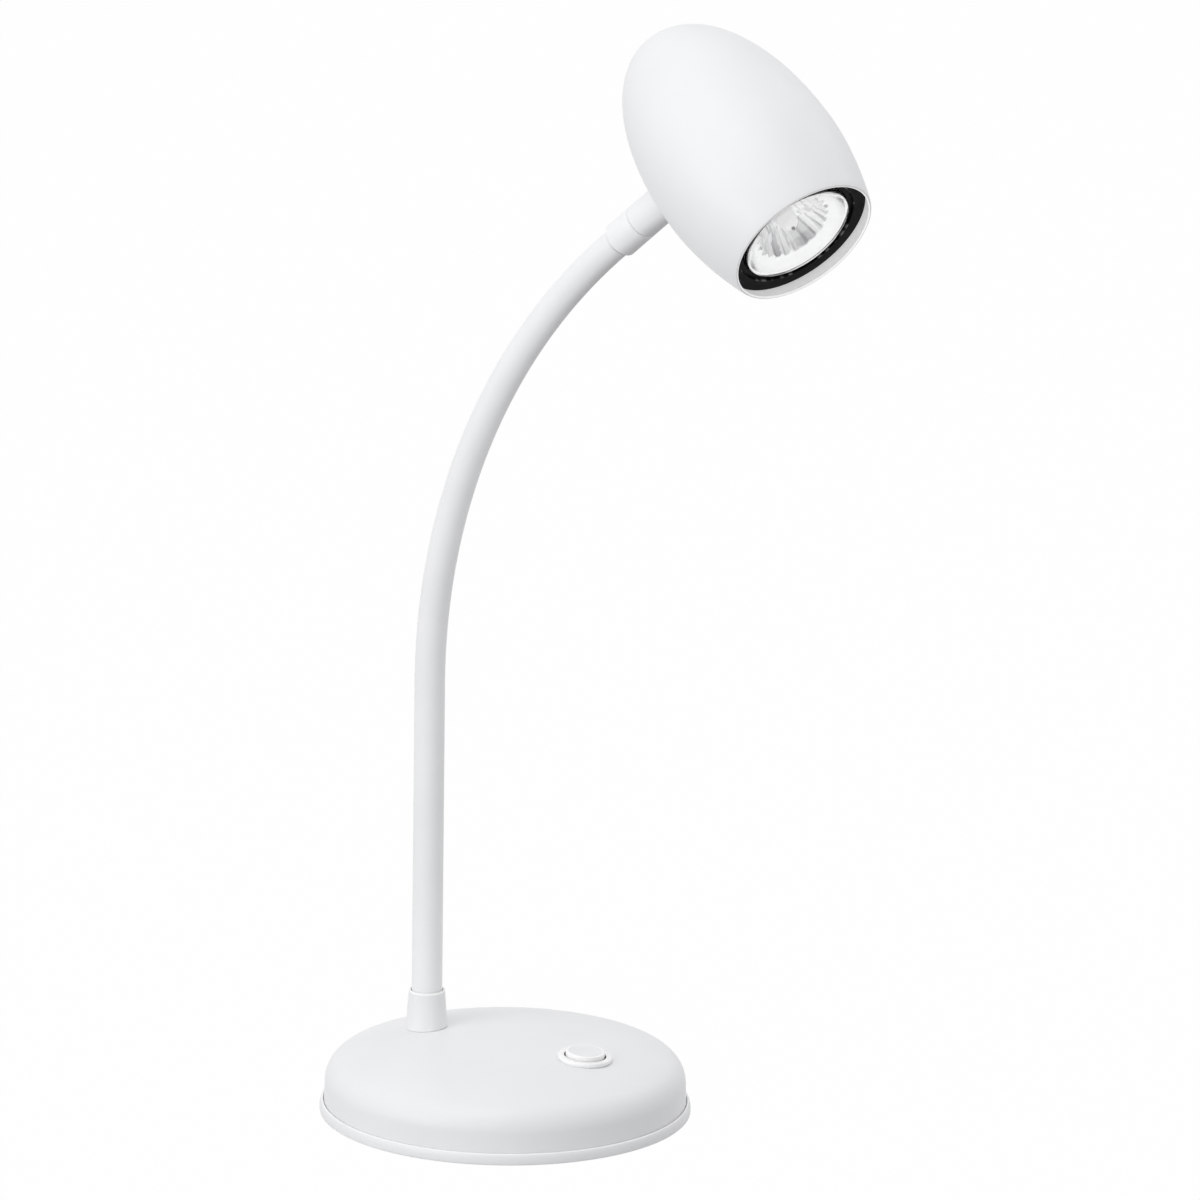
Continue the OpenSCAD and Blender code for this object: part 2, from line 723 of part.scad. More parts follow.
// Dark ring that closes the gap round the bulb, with a step and a skirt against the shade
module bulb_ring() {
    inner_r = bulb_d / 2 + loose_gap;
    color(black) at_head() rotate_extrude()
        polygon(concat(
            [[inner_r, ring_z - 1.2], [inner_r + ring_step - 0.3, ring_z - 1.2],
             [inner_r + ring_step, ring_z]],
            [for (i = [0:4]) let (z = ring_z - ring_skirt * i / 4)
                [shade_front_r(z) - shade_t - 0.15, z]],
            [for (i = [4:-1:1]) let (z = ring_z - ring_skirt * i / 4)
                [shade_front_r(z) - shade_t - 0.15 - ring_t, z]],
            [[inner_r + ring_step + ring_t, ring_z - ring_t],
             [inner_r + ring_step + ring_t, ring_z - 1.2 - ring_t],
             [inner_r, ring_z - 1.2 - ring_t]]));
}

// Bent steel strip: its foot is clamped under the nut, its arm carries the lampholder
module holder_bracket() {
    low_z = bracket_z - bracket_t;
    bend_w = (bracket_z - bracket_t / 2 + foot_t * cos(head_tilt)) / sin(head_tilt);
    bend_x = foot_t * sin(head_tilt) + bend_w * cos(head_tilt);
    color(steel) at_head() difference() {
        rotate([90, 0, 0]) translate([0, 0, -bracket_w / 2]) linear_extrude(bracket_w) union() {
            translate([-holder_r + 1, low_z]) square([bend_x + holder_r - 1, bracket_t]);
            translate([bend_x, bracket_z - bracket_t / 2]) {
                circle(d = bracket_t);
                rotate(head_tilt - 90)
                    translate([-bracket_t / 2, 0]) square([bracket_t, 8.5 - bend_w]);
            }
        }
        on_stub_axis() translate([0, 0, foot_t - 5]) cylinder(r = nipple_r + 0.15, h = 10);
        for (x = [-holder_screw_x, holder_screw_x]) translate([x, 0, low_z - past])
            cylinder(r = 1.6, h = bracket_t + 2 * past);
    }
}

// Ceramic lampholder with two curved key slots and two lead holes
module lampholder() {
    slot_l = pin_l + 1.5;
    holder_l = holder_z - bracket_z - seat_gap;
    color(ceramic) at_head() difference() {
        translate([0, 0, holder_z - holder_l]) rotate_extrude()
            polygon([[0, 0], [holder_r - 1, 0], [holder_r, 1], [holder_r, holder_l - 1],
                     [holder_r - 1, holder_l], [0, holder_l]]);
        for (side = [0, 180]) rotate([0, 0, side]) translate([0, 0, holder_z - slot_l]) {
            translate([0, pin_pitch / 2, 0]) cylinder(r = pin_r + slot_gap, h = slot_l + past);
            rotate([0, 0, bulb_twist]) translate([0, pin_pitch / 2, 0])
                cylinder(r = pin_r + slot_gap, h = slot_l + past);
            rotate([0, 0, 90]) rotate_extrude(angle = bulb_twist)
                translate([pin_pitch / 2 - pin_r - slot_gap, 0])
                    square([2 * (pin_r + slot_gap), slot_l + past]);
        }
        for (y = [-4, 4]) translate([holder_r / 2, y, lead_in_z]) rotate([0, 90, 0])
            cylinder(r = wire_r + 0.2, h = holder_r);
        for (x = [-holder_screw_x, holder_screw_x]) translate([x, 0, bracket_z - past])
            cylinder(r = 1.5 + seat_gap, h = 7.5);
    }
}

module holder_screws() {
    color(steel) at_head()
        for (x = [-holder_screw_x, holder_screw_x])
            translate([x, 0, bracket_z - bracket_t - seat_gap]) {
                cylinder(r = 1.5, h = 7);
                mirror([0, 0, 1]) difference() {
                    rotate_extrude() polygon([[0, 0], [2.75, 0], [2.75, 1.2], [2.1, 1.9], [0, 1.9]]);
                    translate([0, 0, 1.9]) cube([0.8, 6, 1.2], center = true);
                }
            }
}

// Two insulated leads from the swivel nipple into the lampholder
module lamp_leads() {
    inward = [-sin(head_tilt), 0, cos(head_tilt)];
    color(white) at_head() for (side = [-1, 1])
        wire(smooth_route([
                -inward * (nipple_tip + 10) + [0, side * wire_y, 0],
                -inward * (nipple_tip + 2) + [0, side * wire_y, 0],
                -inward * (nipple_tip - 3) + [0, side * 1.8, 0],
                [holder_r + 6, side * 3.6, lead_in_z + 0.8],
                [holder_r + 0.5, side * 4, lead_in_z],
                [holder_r - 5, side * 4, lead_in_z]], 5),
            wire_r, 8, [0, 1, 0]);
}

// Two insulated leads from the neck's foot, over the weight, to the switch's terminals
module base_leads() {
    over_z = weight_top_z + 2.4;
    block_z = dome_z(switch_x) - barrel_l - block_l;
    color(white) for (side = [-1, 1])
        wire(smooth_route([
                [-foot_x, side * wire_y, boss_z + 4],
                [-foot_x, side * wire_y, boss_z - nut_t - 4],
                [-foot_x + 3, side * 1.8, over_z + 1.4],
                [-foot_x + 12, side * 2.5, over_z],
                [0, side * 4, over_z],
                [switch_x - well_r - 2, side * 4, over_z],
                [switch_x - well_r + 3, side * 4, over_z - 2.2],
                [switch_x - block_w / 2 - 2.5, side * 4, block_z - 1.5],
                [switch_x - block_w / 2 + 1.4, side * 4, block_z - 2.6]], 4),
            wire_r, 8, [0, 1, 0]);
}

// ---- Bulb ----

// Front glass: a flat middle and a sloping border
module bulb_lens() {
    r = bulb_d / 2;
    flat_r = r * 0.69;
    color(glass) at_head() rotate_extrude()
        polygon([[0, lens_z - lens_t + seat_gap], [0, lens_z - 0.4], [flat_r - 0.6, lens_z - 0.4],
                 [flat_r, lens_z], [r - 1.4, lens_z], [r - 0.4, lens_z - 0.4], [r, lens_z - 1.1],
                 [r, lens_z - lens_t + seat_gap]]);
}

// Radius of the reflector's outside at a height above its back
function reflector_r(h) = 10.5 + (bulb_d / 2 - 10.5) * pow(h / reflector_l, 0.62);

// Glass reflector cup with flutes that run down its inside
module bulb_reflector() {
    wall = 1.4;
    flute_t = 0.8;
    steps = 10;
    rings = [for (i = [0:steps]) reflector_l * pow(i / steps, 1.5)];
    color(steel) at_head() translate([0, 0, reflector_z]) {
        difference() {
            rotate_extrude()
                polygon(concat(
                    [[0, 0]], [for (h = rings) [reflector_r(h), h]],
                    [for (i = [steps:-1:1]) [reflector_r(rings[i]) - wall, rings[i]]],
                    [[7, 3], [0, 3]]));
            translate([0, 0, -past]) cylinder(r = 5, h = 6);
        }
        for (k = [0:flutes - 1]) rotate([0, 0, 360 * k / flutes])
            rotate_extrude(angle = 180 / flutes)
                polygon(concat(
                    [for (i = [2:steps - 1]) [reflector_r(rings[i]) - wall + 0.1, rings[i]]],
                    [for (i = [steps - 1:-1:2])
                        [reflector_r(rings[i]) - wall - flute_t, rings[i]]]));
    }
}

// Quartz capsule in the reflector
module bulb_burner() {
    r = 4.2;
    h = 17;
    color(glass) at_head() translate([0, 0, reflector_z - 2]) rotate_extrude()
        polygon(concat(
            [[0, 0], [r, 0]],
            [for (a = [0:15:75]) [r * cos(a), h - r + r * sin(a)]],
            [[0.8, h + 0.2], [0.5, h + 1.4], [0, h + 1.5]]));
}

// Moulded back of the bulb
module bulb_base() {
    color(ceramic) at_head() difference() {
        translate([0, 0, base_back_z]) rotate_extrude()
            polygon([[0, 0], [8.6, 0], [9.4, 0.8], [9.4, bulb_base_l - 5], [10.5, bulb_base_l - 3.5],
                     [10.5, bulb_base_l - seat_gap], [0, bulb_base_l - seat_gap]]);
        translate([0, 0, reflector_z - 2 - seat_gap]) cylinder(r = 4.3, h = 4);
    }
}

// Two headed contact pins
module bulb_pins() {
    color(steel) at_head() for (side = [0, 180]) rotate([0, 0, side])
        translate([0, pin_pitch / 2, base_back_z - seat_gap]) mirror([0, 0, 1]) rotate_extrude()
            polygon([[0, 0], [1.5, 0], [1.5, 4.2], [pin_r, 4.4], [pin_r, pin_l - 0.5],
                     [pin_r - 0.5, pin_l], [0, pin_l]]);
}

base_pad();
base_plate();
base_shell();
ballast_weight();
base_screws();
cord_grommet();
switch_bezel();
switch_nut();
switch_body();
switch_spring();
push_button();
neck_collar();
foot_nipple();
foot_washer();
foot_nut();
base_leads();
for (i = [0:upright_joints - 1])
    upright_segment(i);
for (i = [0:bend_joints])
    bent_segment(i);
neck_ferrule();
swivel_nipple();
swivel_washer();
head_stub();
shade();
saddle_washer();
head_nut();
bulb_ring();
holder_bracket();
lampholder();
holder_screws();
lamp_leads();
bulb_lens();
bulb_reflector();
bulb_burner();
bulb_base();
bulb_pins();
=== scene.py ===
"""Gooseneck desk lamp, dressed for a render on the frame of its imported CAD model.

Each sub-assembly is a class that holds its sizes in millimetres, builds its pieces as closed meshes
in the frame's metres, and dresses them with a finish. Places that the CAD model already fixes, such
as the swivel's axis, are read from the frame's joints.
"""

from __future__ import annotations

import json
import logging
import math
from collections.abc import Callable, Sequence
from dataclasses import dataclass
from enum import Enum

import bmesh
import bpy
from mathutils import Matrix, Vector

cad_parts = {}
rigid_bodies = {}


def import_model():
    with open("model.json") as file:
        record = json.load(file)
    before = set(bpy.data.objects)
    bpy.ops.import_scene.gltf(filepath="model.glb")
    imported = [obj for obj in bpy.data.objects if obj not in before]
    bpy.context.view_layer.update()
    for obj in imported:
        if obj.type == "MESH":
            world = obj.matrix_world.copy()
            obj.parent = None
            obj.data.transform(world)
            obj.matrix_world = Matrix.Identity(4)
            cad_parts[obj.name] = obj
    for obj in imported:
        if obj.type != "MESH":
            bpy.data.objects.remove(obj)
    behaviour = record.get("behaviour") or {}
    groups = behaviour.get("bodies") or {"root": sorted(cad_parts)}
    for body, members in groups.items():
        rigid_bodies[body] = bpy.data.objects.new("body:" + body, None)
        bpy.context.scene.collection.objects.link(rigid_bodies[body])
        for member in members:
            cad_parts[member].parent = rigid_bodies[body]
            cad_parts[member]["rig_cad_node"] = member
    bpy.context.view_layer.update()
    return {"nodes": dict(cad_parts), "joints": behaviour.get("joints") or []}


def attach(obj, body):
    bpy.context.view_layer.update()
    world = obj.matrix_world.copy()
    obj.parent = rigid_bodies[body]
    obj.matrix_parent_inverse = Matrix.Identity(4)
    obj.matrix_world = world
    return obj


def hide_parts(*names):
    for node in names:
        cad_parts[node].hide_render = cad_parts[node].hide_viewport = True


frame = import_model()

MM = 0.001
NO_WIDTH = 1e-6
HERE = Matrix.Identity(4)
WHITE = (1.0, 1.0, 1.0)
Outline = list[tuple[float, float]]
Colour = tuple[float, float, float]
Piece = bpy.types.Object
Socket = bpy.types.NodeSocket
log = logging.getLogger("desk_lamp")


# ---- Meshes ----


def rounded(corners: Sequence[tuple[float, ...]], steps: int = 6) -> Outline:
    """Rounds the marked corners of a closed outline.

    Args:
        corners: Radius and height of each corner, and how far it is rounded where it is.
        steps: Number of straight pieces in each rounded corner.

    Returns:
        The outline's points in the same order.
    """
    outline: Outline = []
    for i, corner in enumerate(corners):
        here = Vector(corner[:2])
        if len(corner) < 3:
            outline.append((here.x, here.y))
            continue
        before = Vector(corners[i - 1][:2]) - here
        after = Vector(corners[(i + 1) % len(corners)][:2]) - here
        half = before.angle(after) / 2
        cut = min(corner[2] / math.tan(half), 0.48 * before.length, 0.48 * after.length)
        radius = cut * math.tan(half)
        bisector = (before.normalized() + after.normalized()).normalized()
        centre = here + bisector * radius / math.sin(half)
        first = here + before.normalized() * cut - centre
        last = here + after.normalized() * cut - centre
        start = math.atan2(first.y, first.x)
        turn = math.remainder(math.atan2(last.y, last.x) - start, math.tau)
        for k in range(steps + 1):
            angle = start + turn * k / steps
            outline.append((centre.x + radius * math.cos(angle), centre.y + radius * math.sin(angle)))
    return outline


def heading(degrees: float) -> Vector:
    """Returns the unit vector at an angle from straight up, in a plane of radius and height."""
    return Vector((math.sin(math.radians(degrees)), math.cos(math.radians(degrees))))


def smooth(piece: Piece, sharpest: float = 32.0) -> None:
    """Shades a piece smoothly, apart from its sharp edges.

    Args:
        piece: The piece to shade.
        sharpest: Angle in degrees above which an edge stays sharp.
    """
    piece.data.shade_smooth()
    piece.data.set_sharp_from_angle(angle=math.radians(sharpest))


def circle(radius: float, height: float, sides: int) -> list[Vector]:
    """Returns the points of a circle round Z, or its middle alone where it has no width."""
    angles = [0.0] if radius < NO_WIDTH else [math.tau * k / sides for k in range(sides)]
    return [Vector((radius * math.cos(a), radius * math.sin(a), height)) for a in angles]


def arc(centre: tuple[float, float], radii: tuple[float, float], degrees: Sequence[float]) -> Outline:
    """Traces an arc in a plane of radius and height.

    Args:
        centre: Its middle.
        radii: How far it reaches across and up.
        degrees: The angle of each point, from straight outward.

    Returns:
        The arc's points.
    """
    turns = [math.radians(angle) for angle in degrees]
    return [(centre[0] + radii[0] * math.cos(a), centre[1] + radii[1] * math.sin(a)) for a in turns]


def skin(name: str, rings: Sequence[Sequence[Vector]], place: Matrix, looped: bool) -> Piece:
    """Joins rings of points into one closed mesh.

    Args:
        name: The piece's name.
        rings: Rings in order, in millimetres. Each has the same number of points, or one for a pole.
        place: Where the piece stands in the frame.
        looped: Whether the last ring joins the first.

    Returns:
        The new piece.
    """
    points: list[Vector] = []
    starts: list[int] = []
    for ring in rings:
        starts.append(len(points))
        points.extend(place @ (point * MM) for point in ring)
    pairs = [(i, i + 1) for i in range(len(rings) - 1)]
    if looped:
        pairs.append((len(rings) - 1, 0))
    faces: list[tuple[int, ...]] = []
    for i, j in pairs:
        count = max(len(rings[i]), len(rings[j]))
        for k in range(count):
            following = (k + 1) % count
            if len(rings[i]) == 1:
                faces.append((starts[i], starts[j] + k, starts[j] + following))
            elif len(rings[j]) == 1:
                faces.append((starts[i] + k, starts[i] + following, starts[j]))
            else:
                faces.append((starts[i] + k, starts[i] + following, starts[j] + following, starts[j] + k))
    mesh = bpy.data.meshes.new(name)
    mesh.from_pydata(points, [], faces)
    shape = bmesh.new()
    shape.from_mesh(mesh)
    bmesh.ops.recalc_face_normals(shape, faces=shape.faces)
    shape.to_mesh(mesh)
    shape.free()
    piece = bpy.data.objects.new(name, mesh)
    bpy.context.scene.collection.objects.link(piece)
    smooth(piece)
    return piece


def turned(
    name: str,
    outline: Outline,
    place: Matrix,
    sides: int = 128,
    shaped: Callable[[Vector], Vector] | None = None,
) -> Piece:
    """Turns an outline of radius and height round the place's Z axis.

    Args:
        name: The piece's name.
        outline: A closed outline, or one that starts and ends on the axis.
        place: Where the piece stands in the frame.
        sides: Number of faces around.
        shaped: Moves each point after the turning, for a foot that follows a dome or for flutes.

    Returns:
        The new piece.
    """
    rings: list[list[Vector]] = []
    for radius, height in outline:
        ring = circle(radius, height, sides)
        rings.append([shaped(point) for point in ring] if shaped else ring)
    return skin(name, rings, place, looped=max(outline[0][0], outline[-1][0]) > NO_WIDTH)


def bored(piece: Piece, *cutters: Piece) -> Piece:
    """Cuts other solids out of a piece and deletes them.

    Args:
        piece: The piece to cut.
        cutters: The solids that are cut away.

    Returns:
        The piece.
    """
    for cutter in cutters:
        modifier = piece.modifiers.new("bore", "BOOLEAN")
        modifier.operation = "DIFFERENCE"
        modifier.solver = "EXACT"
        modifier.object = cutter
    seen = piece.evaluated_get(bpy.context.evaluated_depsgraph_get())
    mesh = bpy.data.meshes.new_from_object(seen)
    piece.modifiers.clear()
    piece.data = mesh
    smooth(piece)
    for cutter in cutters:
        bpy.data.objects.remove(cutter)
    return piece


def mark(
    piece: Piece, home: Matrix, share: Callable[[Vector], float], name: str = "edge"
) -> Piece:
    """Keeps a value at each of a piece's points, for its finish to read.

    Args:
        piece: The piece.
        home: Where it stands in the frame.
        share: Gives the value at a point, in millimetres from that place.
        name: The value's name.

    Returns:
        The piece.
    """
    inverse = home.inverted()
    values = [share(inverse @ vertex.co / MM) for vertex in piece.data.vertices]
    piece.data.attributes.new(name, "FLOAT", "POINT").data.foreach_set("value", values)
    return piece


def hump(value: float, middle: float, half: float) -> float:
    """Returns a smooth hump, 1 in its middle and 0 from half its width outward."""
    return max(0.0, 1 - ((value - middle) / half) ** 2)


def rod(radius: float, low: float, high: float, place: Matrix) -> Piece:
    """Returns a plain round cutter between two heights on the place's Z axis."""
    return turned("cutter", [(0, low), (radius, low), (radius, high), (0, high)], place, sides=72)


# ---- Places ----


def joint(name: str) -> dict:
    """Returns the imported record's joint of that name."""
    return next(j for j in frame["joints"] if j["name"] == name)


def standing(origin: Vector, z_axis: Vector, x_hint: Vector) -> Matrix:
    """Makes a place with its Z along an axis.

    Args:
        origin: The place's origin, in metres.
        z_axis: The way that Z points.
        x_hint: A direction whose part square to Z becomes X.

    Returns:
        The place as a 4 by 4 matrix.
    """
    z = z_axis.normalized()
    x = (x_hint - z * x_hint.dot(z)).normalized()
    y = z.cross(x)
    rows = [[x[i], y[i], z[i], origin[i]] for i in range(3)]
    return Matrix([*rows, [0, 0, 0, 1]])


@dataclass(frozen=True)
class Places:
    """The places that the frame's joints fix: the button, the neck's end and the head."""

    switch: Matrix
    neck_end: Matrix
    head: Matrix
    stub: Matrix

    @classmethod
    def from_frame(cls, dome_top: float = 32.0, dome_r: float = 500.0, swivel_height: float = 16.6) -> Places:
        """Reads the places from the joints.

        Args:
            dome_top: Height of the crown, in millimetres.
            dome_r: Radius of the crown's sphere.
            swivel_height: Height of the swivel joint above the neck's end.

        Returns:
            The places, each with its Z along the axis of what stands there.
        """
        press, swivel, twist = joint("button_press"), joint("head_swivel"), joint("bulb_twist")
        normal = -Vector(press["axis"]).normalized()
        switch = Vector((0, 0, (dome_top - dome_r) * MM)) + normal * dome_r * MM
        stub_axis = Vector(swivel["axis"]).normalized()
        neck_end = Vector(swivel["pos_m"]) - stub_axis * swivel_height * MM
        mouth_axis = Vector(twist["axis"]).normalized()
        across = neck_end - Vector(twist["pos_m"])
        lean = stub_axis.dot(mouth_axis)
        along = (mouth_axis.dot(across) * lean - stub_axis.dot(across)) / (1 - lean * lean)
        meeting = neck_end + stub_axis * along
        return cls(
            switch=standing(switch, normal, Vector((1, 0, 0))),
            neck_end=standing(neck_end, stub_axis, Vector((1, 0, 0))),
            head=standing(meeting, mouth_axis, -stub_axis),
            stub=standing(meeting, -stub_axis, mouth_axis),
        )


# ---- Finishes ----


def combined(tree: bpy.types.NodeTree, operation: str, a: Socket, b: Socket) -> Socket:
    """Joins two patterns of a node tree by a math operation."""
    node = tree.nodes.new("ShaderNodeMath")
    node.operation = operation
    tree.links.new(a, node.inputs[0])
    tree.links.new(b, node.inputs[1])
    return node.outputs[0]


class Bench:
    """Puts together one material's nodes. Lengths of patterns are in millimetres."""

    def __init__(self, name: str) -> None:
        """Starts an empty material with a Principled shader."""
        self.material = bpy.data.materials.new(name)
        self.material.use_nodes = True
        self.tree = self.material.node_tree
        self.tree.nodes.clear()
        output = self.tree.nodes.new("ShaderNodeOutputMaterial")
        self.shader = self.tree.nodes.new("ShaderNodeBsdfPrincipled")
        self.link(self.shader.outputs[0], output.inputs["Surface"])
        self.here = self.tree.nodes.new("ShaderNodeTexCoord").outputs["Object"]

    def link(self, source: Socket, target: Socket) -> None:
        """Joins two sockets."""
        self.tree.links.new(source, target)

    def set(self, **values: float | Colour) -> None:
        """Sets the shader's own sockets, named with underscores for spaces."""
        for key, value in values.items():
            socket = self.shader.inputs[key.replace("_", " ").title().replace("Ior", "IOR")]
            socket.default_value = (*value, 1.0) if isinstance(value, tuple) else value

    def stretched(self, x: float, y: float, z: float) -> Socket:
        """Returns the object coordinates, scaled along each axis."""
        node = self.tree.nodes.new("ShaderNodeMapping")
        node.inputs["Scale"].default_value = (x, y, z)
        self.link(self.here, node.inputs["Vector"])
        return node.outputs[0]

    def grain(
        self, size: float, detail: float = 3.0, at: Socket | None = None
    ) -> Socket:
        """Adds a noise pattern.

        Args:
            size: Size of its blots, in millimetres.
            detail: Number of finer layers.
            at: Coordinates, if not the object's.

        Returns:
            The pattern, from 0 to 1.
        """
        node = self.tree.nodes.new("ShaderNodeTexNoise")
        node.inputs["Scale"].default_value = 1 / (size * MM)
        node.inputs["Detail"].default_value = detail
        self.link(at or self.here, node.inputs["Vector"])
        return node.outputs["Fac"]

    def mesh_value(self, name: str) -> Socket:
        """Returns a value that the mesh keeps at its points."""
        node = self.tree.nodes.new("ShaderNodeAttribute")
        node.attribute_name = name
        return node.outputs["Fac"]

    def cells(self, size: float) -> Socket:
        """Returns a cellular pattern with cells of that size, in millimetres."""
        node = self.tree.nodes.new("ShaderNodeTexVoronoi")
        node.inputs["Scale"].default_value = 1 / (size * MM)
        self.link(self.here, node.inputs["Vector"])
        return node.outputs["Distance"]

    def spread(
        self, source: Socket, low: float, high: float, to_low: float, to_high: float
    ) -> Socket:
        """Maps a pattern's range onto another, smoothly and within its ends.

        Args:
            source: The pattern.
            low: Where the range starts.
            high: Where it ends.
            to_low: The value at its start.
            to_high: The value at its end.

        Returns:
            The mapped pattern.
        """
        node = self.tree.nodes.new("ShaderNodeMapRange")
        node.interpolation_type = "SMOOTHSTEP"
        self.link(source, node.inputs["Value"])
        for key, value in (("From Min", low), ("From Max", high), ("To Min", to_low), ("To Max", to_high)):
            node.inputs[key].default_value = value
        return node.outputs[0]

    def blots(
        self, size: float, detail: float, low: float, high: float, to_low: float = 0.0, to_high: float = 1.0
    ) -> Socket:
        """Returns a noise pattern of that size and detail, with its range mapped as spread does it."""
        return self.spread(self.grain(size, detail), low, high, to_low, to_high)

    def times(self, a: Socket, b: Socket) -> Socket:
        """Returns the product of two patterns."""
        return combined(self.tree, "MULTIPLY", a, b)

    def plus(self, a: Socket, b: Socket) -> Socket:
        """Returns the sum of two patterns."""
        return combined(self.tree, "ADD", a, b)

    def tint(
        self, amount: Socket, under: Socket | Colour, over: Colour
    ) -> Socket:
        """Lays a colour over another.

        Args:
            amount: Pattern of how much of it covers.
            under: The colour below, or a pattern of it.
            over: The colour above.

        Returns:
            The mixed colour.
        """
        node = self.tree.nodes.new("ShaderNodeMix")
        node.data_type = "RGBA"
        self.link(amount, node.inputs["Factor"])
        if isinstance(under, tuple):
            node.inputs["A"].default_value = (*under, 1.0)
        else:
            self.link(under, node.inputs["A"])
        node.inputs["B"].default_value = (*over, 1.0)
        return node.outputs["Result"]

    def geometry(self, output: str) -> Socket:
        """Returns one of the surface's own values, such as its pointiness."""
        return self.tree.nodes.new("ShaderNodeNewGeometry").outputs[output]

    def edges(self) -> Socket:
        """Returns a pattern that is 1 on worn outer edges, broken up by a fine grain."""
        outer = self.spread(self.geometry("Pointiness"), 0.56, 0.64, 0.0, 1.0)
        return self.times(outer, self.blots(2.5, 3.0, 0.45, 0.62))

    def hollows(self) -> Socket:
        """Returns a pattern that is 1 in corners where dust settles."""
        return self.spread(self.geometry("Pointiness"), 0.36, 0.44, 1.0, 0.0)

    def painted_edge_highlight(self, under: Socket | Colour, bright: Colour) -> Socket:
        """Lays a painted highlight, a lighter tone, over the edges that the mesh marks, a little unevenly."""
        uneven = self.blots(4.0, 3.0, 0.25, 0.6, 0.8, 1.0)
        return self.tint(self.times(self.mesh_value("edge"), uneven), under, bright)

    def shaded_below(self, under: Socket, most: float, shade: Colour) -> Socket:
        """Greys a tone where the surface faces the floor, as painted shade.

        Args:
            under: The tone.
            most: How much of it is covered on a face that looks straight down.
            shade: The grey of the painted shade.

        Returns:
            The greyed tone.
        """
        parts = self.tree.nodes.new("ShaderNodeSeparateXYZ")
        self.link(self.geometry("Normal"), parts.inputs[0])
        return self.tint(self.spread(parts.outputs["Z"], -0.95, -0.3, most, 0.0), under, shade)

    def relief(self, height: Socket, depth: float, strength: float = 1.0) -> None:
        """Gives the surface relief.

        Args:
            height: The pattern of heights.
            depth: Its depth in millimetres.
            strength: How strongly it tells.
        """
        node = self.tree.nodes.new("ShaderNodeBump")
        node.inputs["Distance"].default_value = depth * MM
        node.inputs["Strength"].default_value = strength
        self.link(height, node.inputs["Height"])
        self.link(node.outputs[0], self.shader.inputs["Normal"])

    def colour(self, source: Socket) -> None:
        """Takes the surface's colour from a pattern."""
        self.link(source, self.shader.inputs["Base Color"])

    def roughness(self, source: Socket) -> None:
        """Takes the surface's roughness from a pattern."""
        self.link(source, self.shader.inputs["Roughness"])


@dataclass(frozen=True)
class Finish:
    """What every finish has: a name and the material slot of the record that it stands for."""

    name: str
    slot: str

    def lay(self, bench: Bench) -> None:
        """Builds the finish's nodes on a bench."""
        raise NotImplementedError

    def material(self) -> bpy.types.Material:
        """Returns the finish's material, made once."""
        found = bpy.data.materials.get(self.name)
        if found is None:
            bench = Bench(self.name)
            self.lay(bench)
            found = bench.material
        return found


@dataclass(frozen=True)
class Paint(Finish):
    """Sprayed and baked paint with a faint orange-peel surface, worn thin along its edges, with a painted
    highlight on marked edges, painted shade where it faces the floor and, where its glow is set, painted
    light.
    """

    colour: Colour = (0.872, 0.881, 0.892)
    roughness: float = 0.46
    peel: float = 1.1
    peel_depth: float = 0.007
    # Glow of the surface, which is painted light: it is no lamp.
    glow: float = 0.0
    # How much painted shade darkens faces that look down, and the grey of that shade.
    below: float = 0.0
    shade: Colour = (0.35, 0.35, 0.36)

    def lay(self, bench: Bench) -> None:
        """Builds a tone that drifts a little, an orange-peel relief, dust, worn edges, a painted highlight on
        marked edges, painted shade below and painted light from its glow.
        """
        duller = tuple(c * 0.98 for c in self.colour)
        tone = bench.tint(bench.blots(45.0, 4.0, 0.35, 0.7), self.colour, duller)
        dust = bench.times(bench.hollows(), bench.blots(6.0, 3.0, 0.4, 0.65, 0.0, 0.12))
        wear = bench.times(bench.edges(), bench.blots(30.0, 3.0, 0.45, 0.7, 0.0, 0.14))
        worn = bench.tint(wear, bench.tint(dust, tone, (0.60, 0.59, 0.57)), (0.55, 0.55, 0.56))
        # Marked edges get a painted highlight, and faces towards the floor get painted shade.
        bench.colour(bench.shaded_below(bench.painted_edge_highlight(worn, WHITE), self.below, self.shade))
        bench.roughness(bench.blots(9.0, 5.0, 0.3, 0.7, self.roughness - 0.035, self.roughness + 0.045))
        peel = bench.plus(bench.grain(self.peel, 2.0), bench.grain(self.peel / 6, 1.0))
        bench.relief(peel, self.peel_depth)
        bench.set(specular_ior_level=0.5, coat_weight=0.05, coat_roughness=0.2)
        # An emission above zero is painted light, a glow on a surface that is no lamp.
        bench.set(emission_color=WHITE, emission_strength=self.glow)


@dataclass(frozen=True)
class Sleeve(Finish):
    """Soft extruded sleeve: matt, with the faint rings of the wound core below it, and painted shade on its
    underside.
    """

    colour: Colour = (0.915, 0.923, 0.933)
    roughness: float = 0.5
    # How much painted shade darkens its underside, and the grey of that shade.
    below: float = 0.85
    shade: Colour = (0.35, 0.35, 0.36)

    def lay(self, bench: Bench) -> None:
        """Builds a drifting tone, fingered patches, painted shade where it faces the floor, faint rings and
        an extruded grain.
        """
        duller = tuple(c * 0.975 for c in self.colour)
        tone = bench.tint(bench.blots(30.0, 4.0, 0.35, 0.7), self.colour, duller)
        spots = bench.tint(bench.blots(1.6, 4.0, 0.62, 0.8, 0.0, 0.06), tone, (0.6, 0.59, 0.58))
        # Faces towards the floor get painted shade.
        bench.colour(bench.shaded_below(spots, self.below, self.shade))
        bench.roughness(bench.blots(12.0, 4.0, 0.3, 0.7, self.roughness - 0.05, self.roughness + 0.06))
        rings = bench.grain(2.4, 1.0, bench.stretched(0.15, 0.15, 1.0))
        bench.relief(bench.plus(rings, bench.grain(0.35, 2.0)), 0.012, 0.8)
        bench.set(specular_ior_level=0.45)


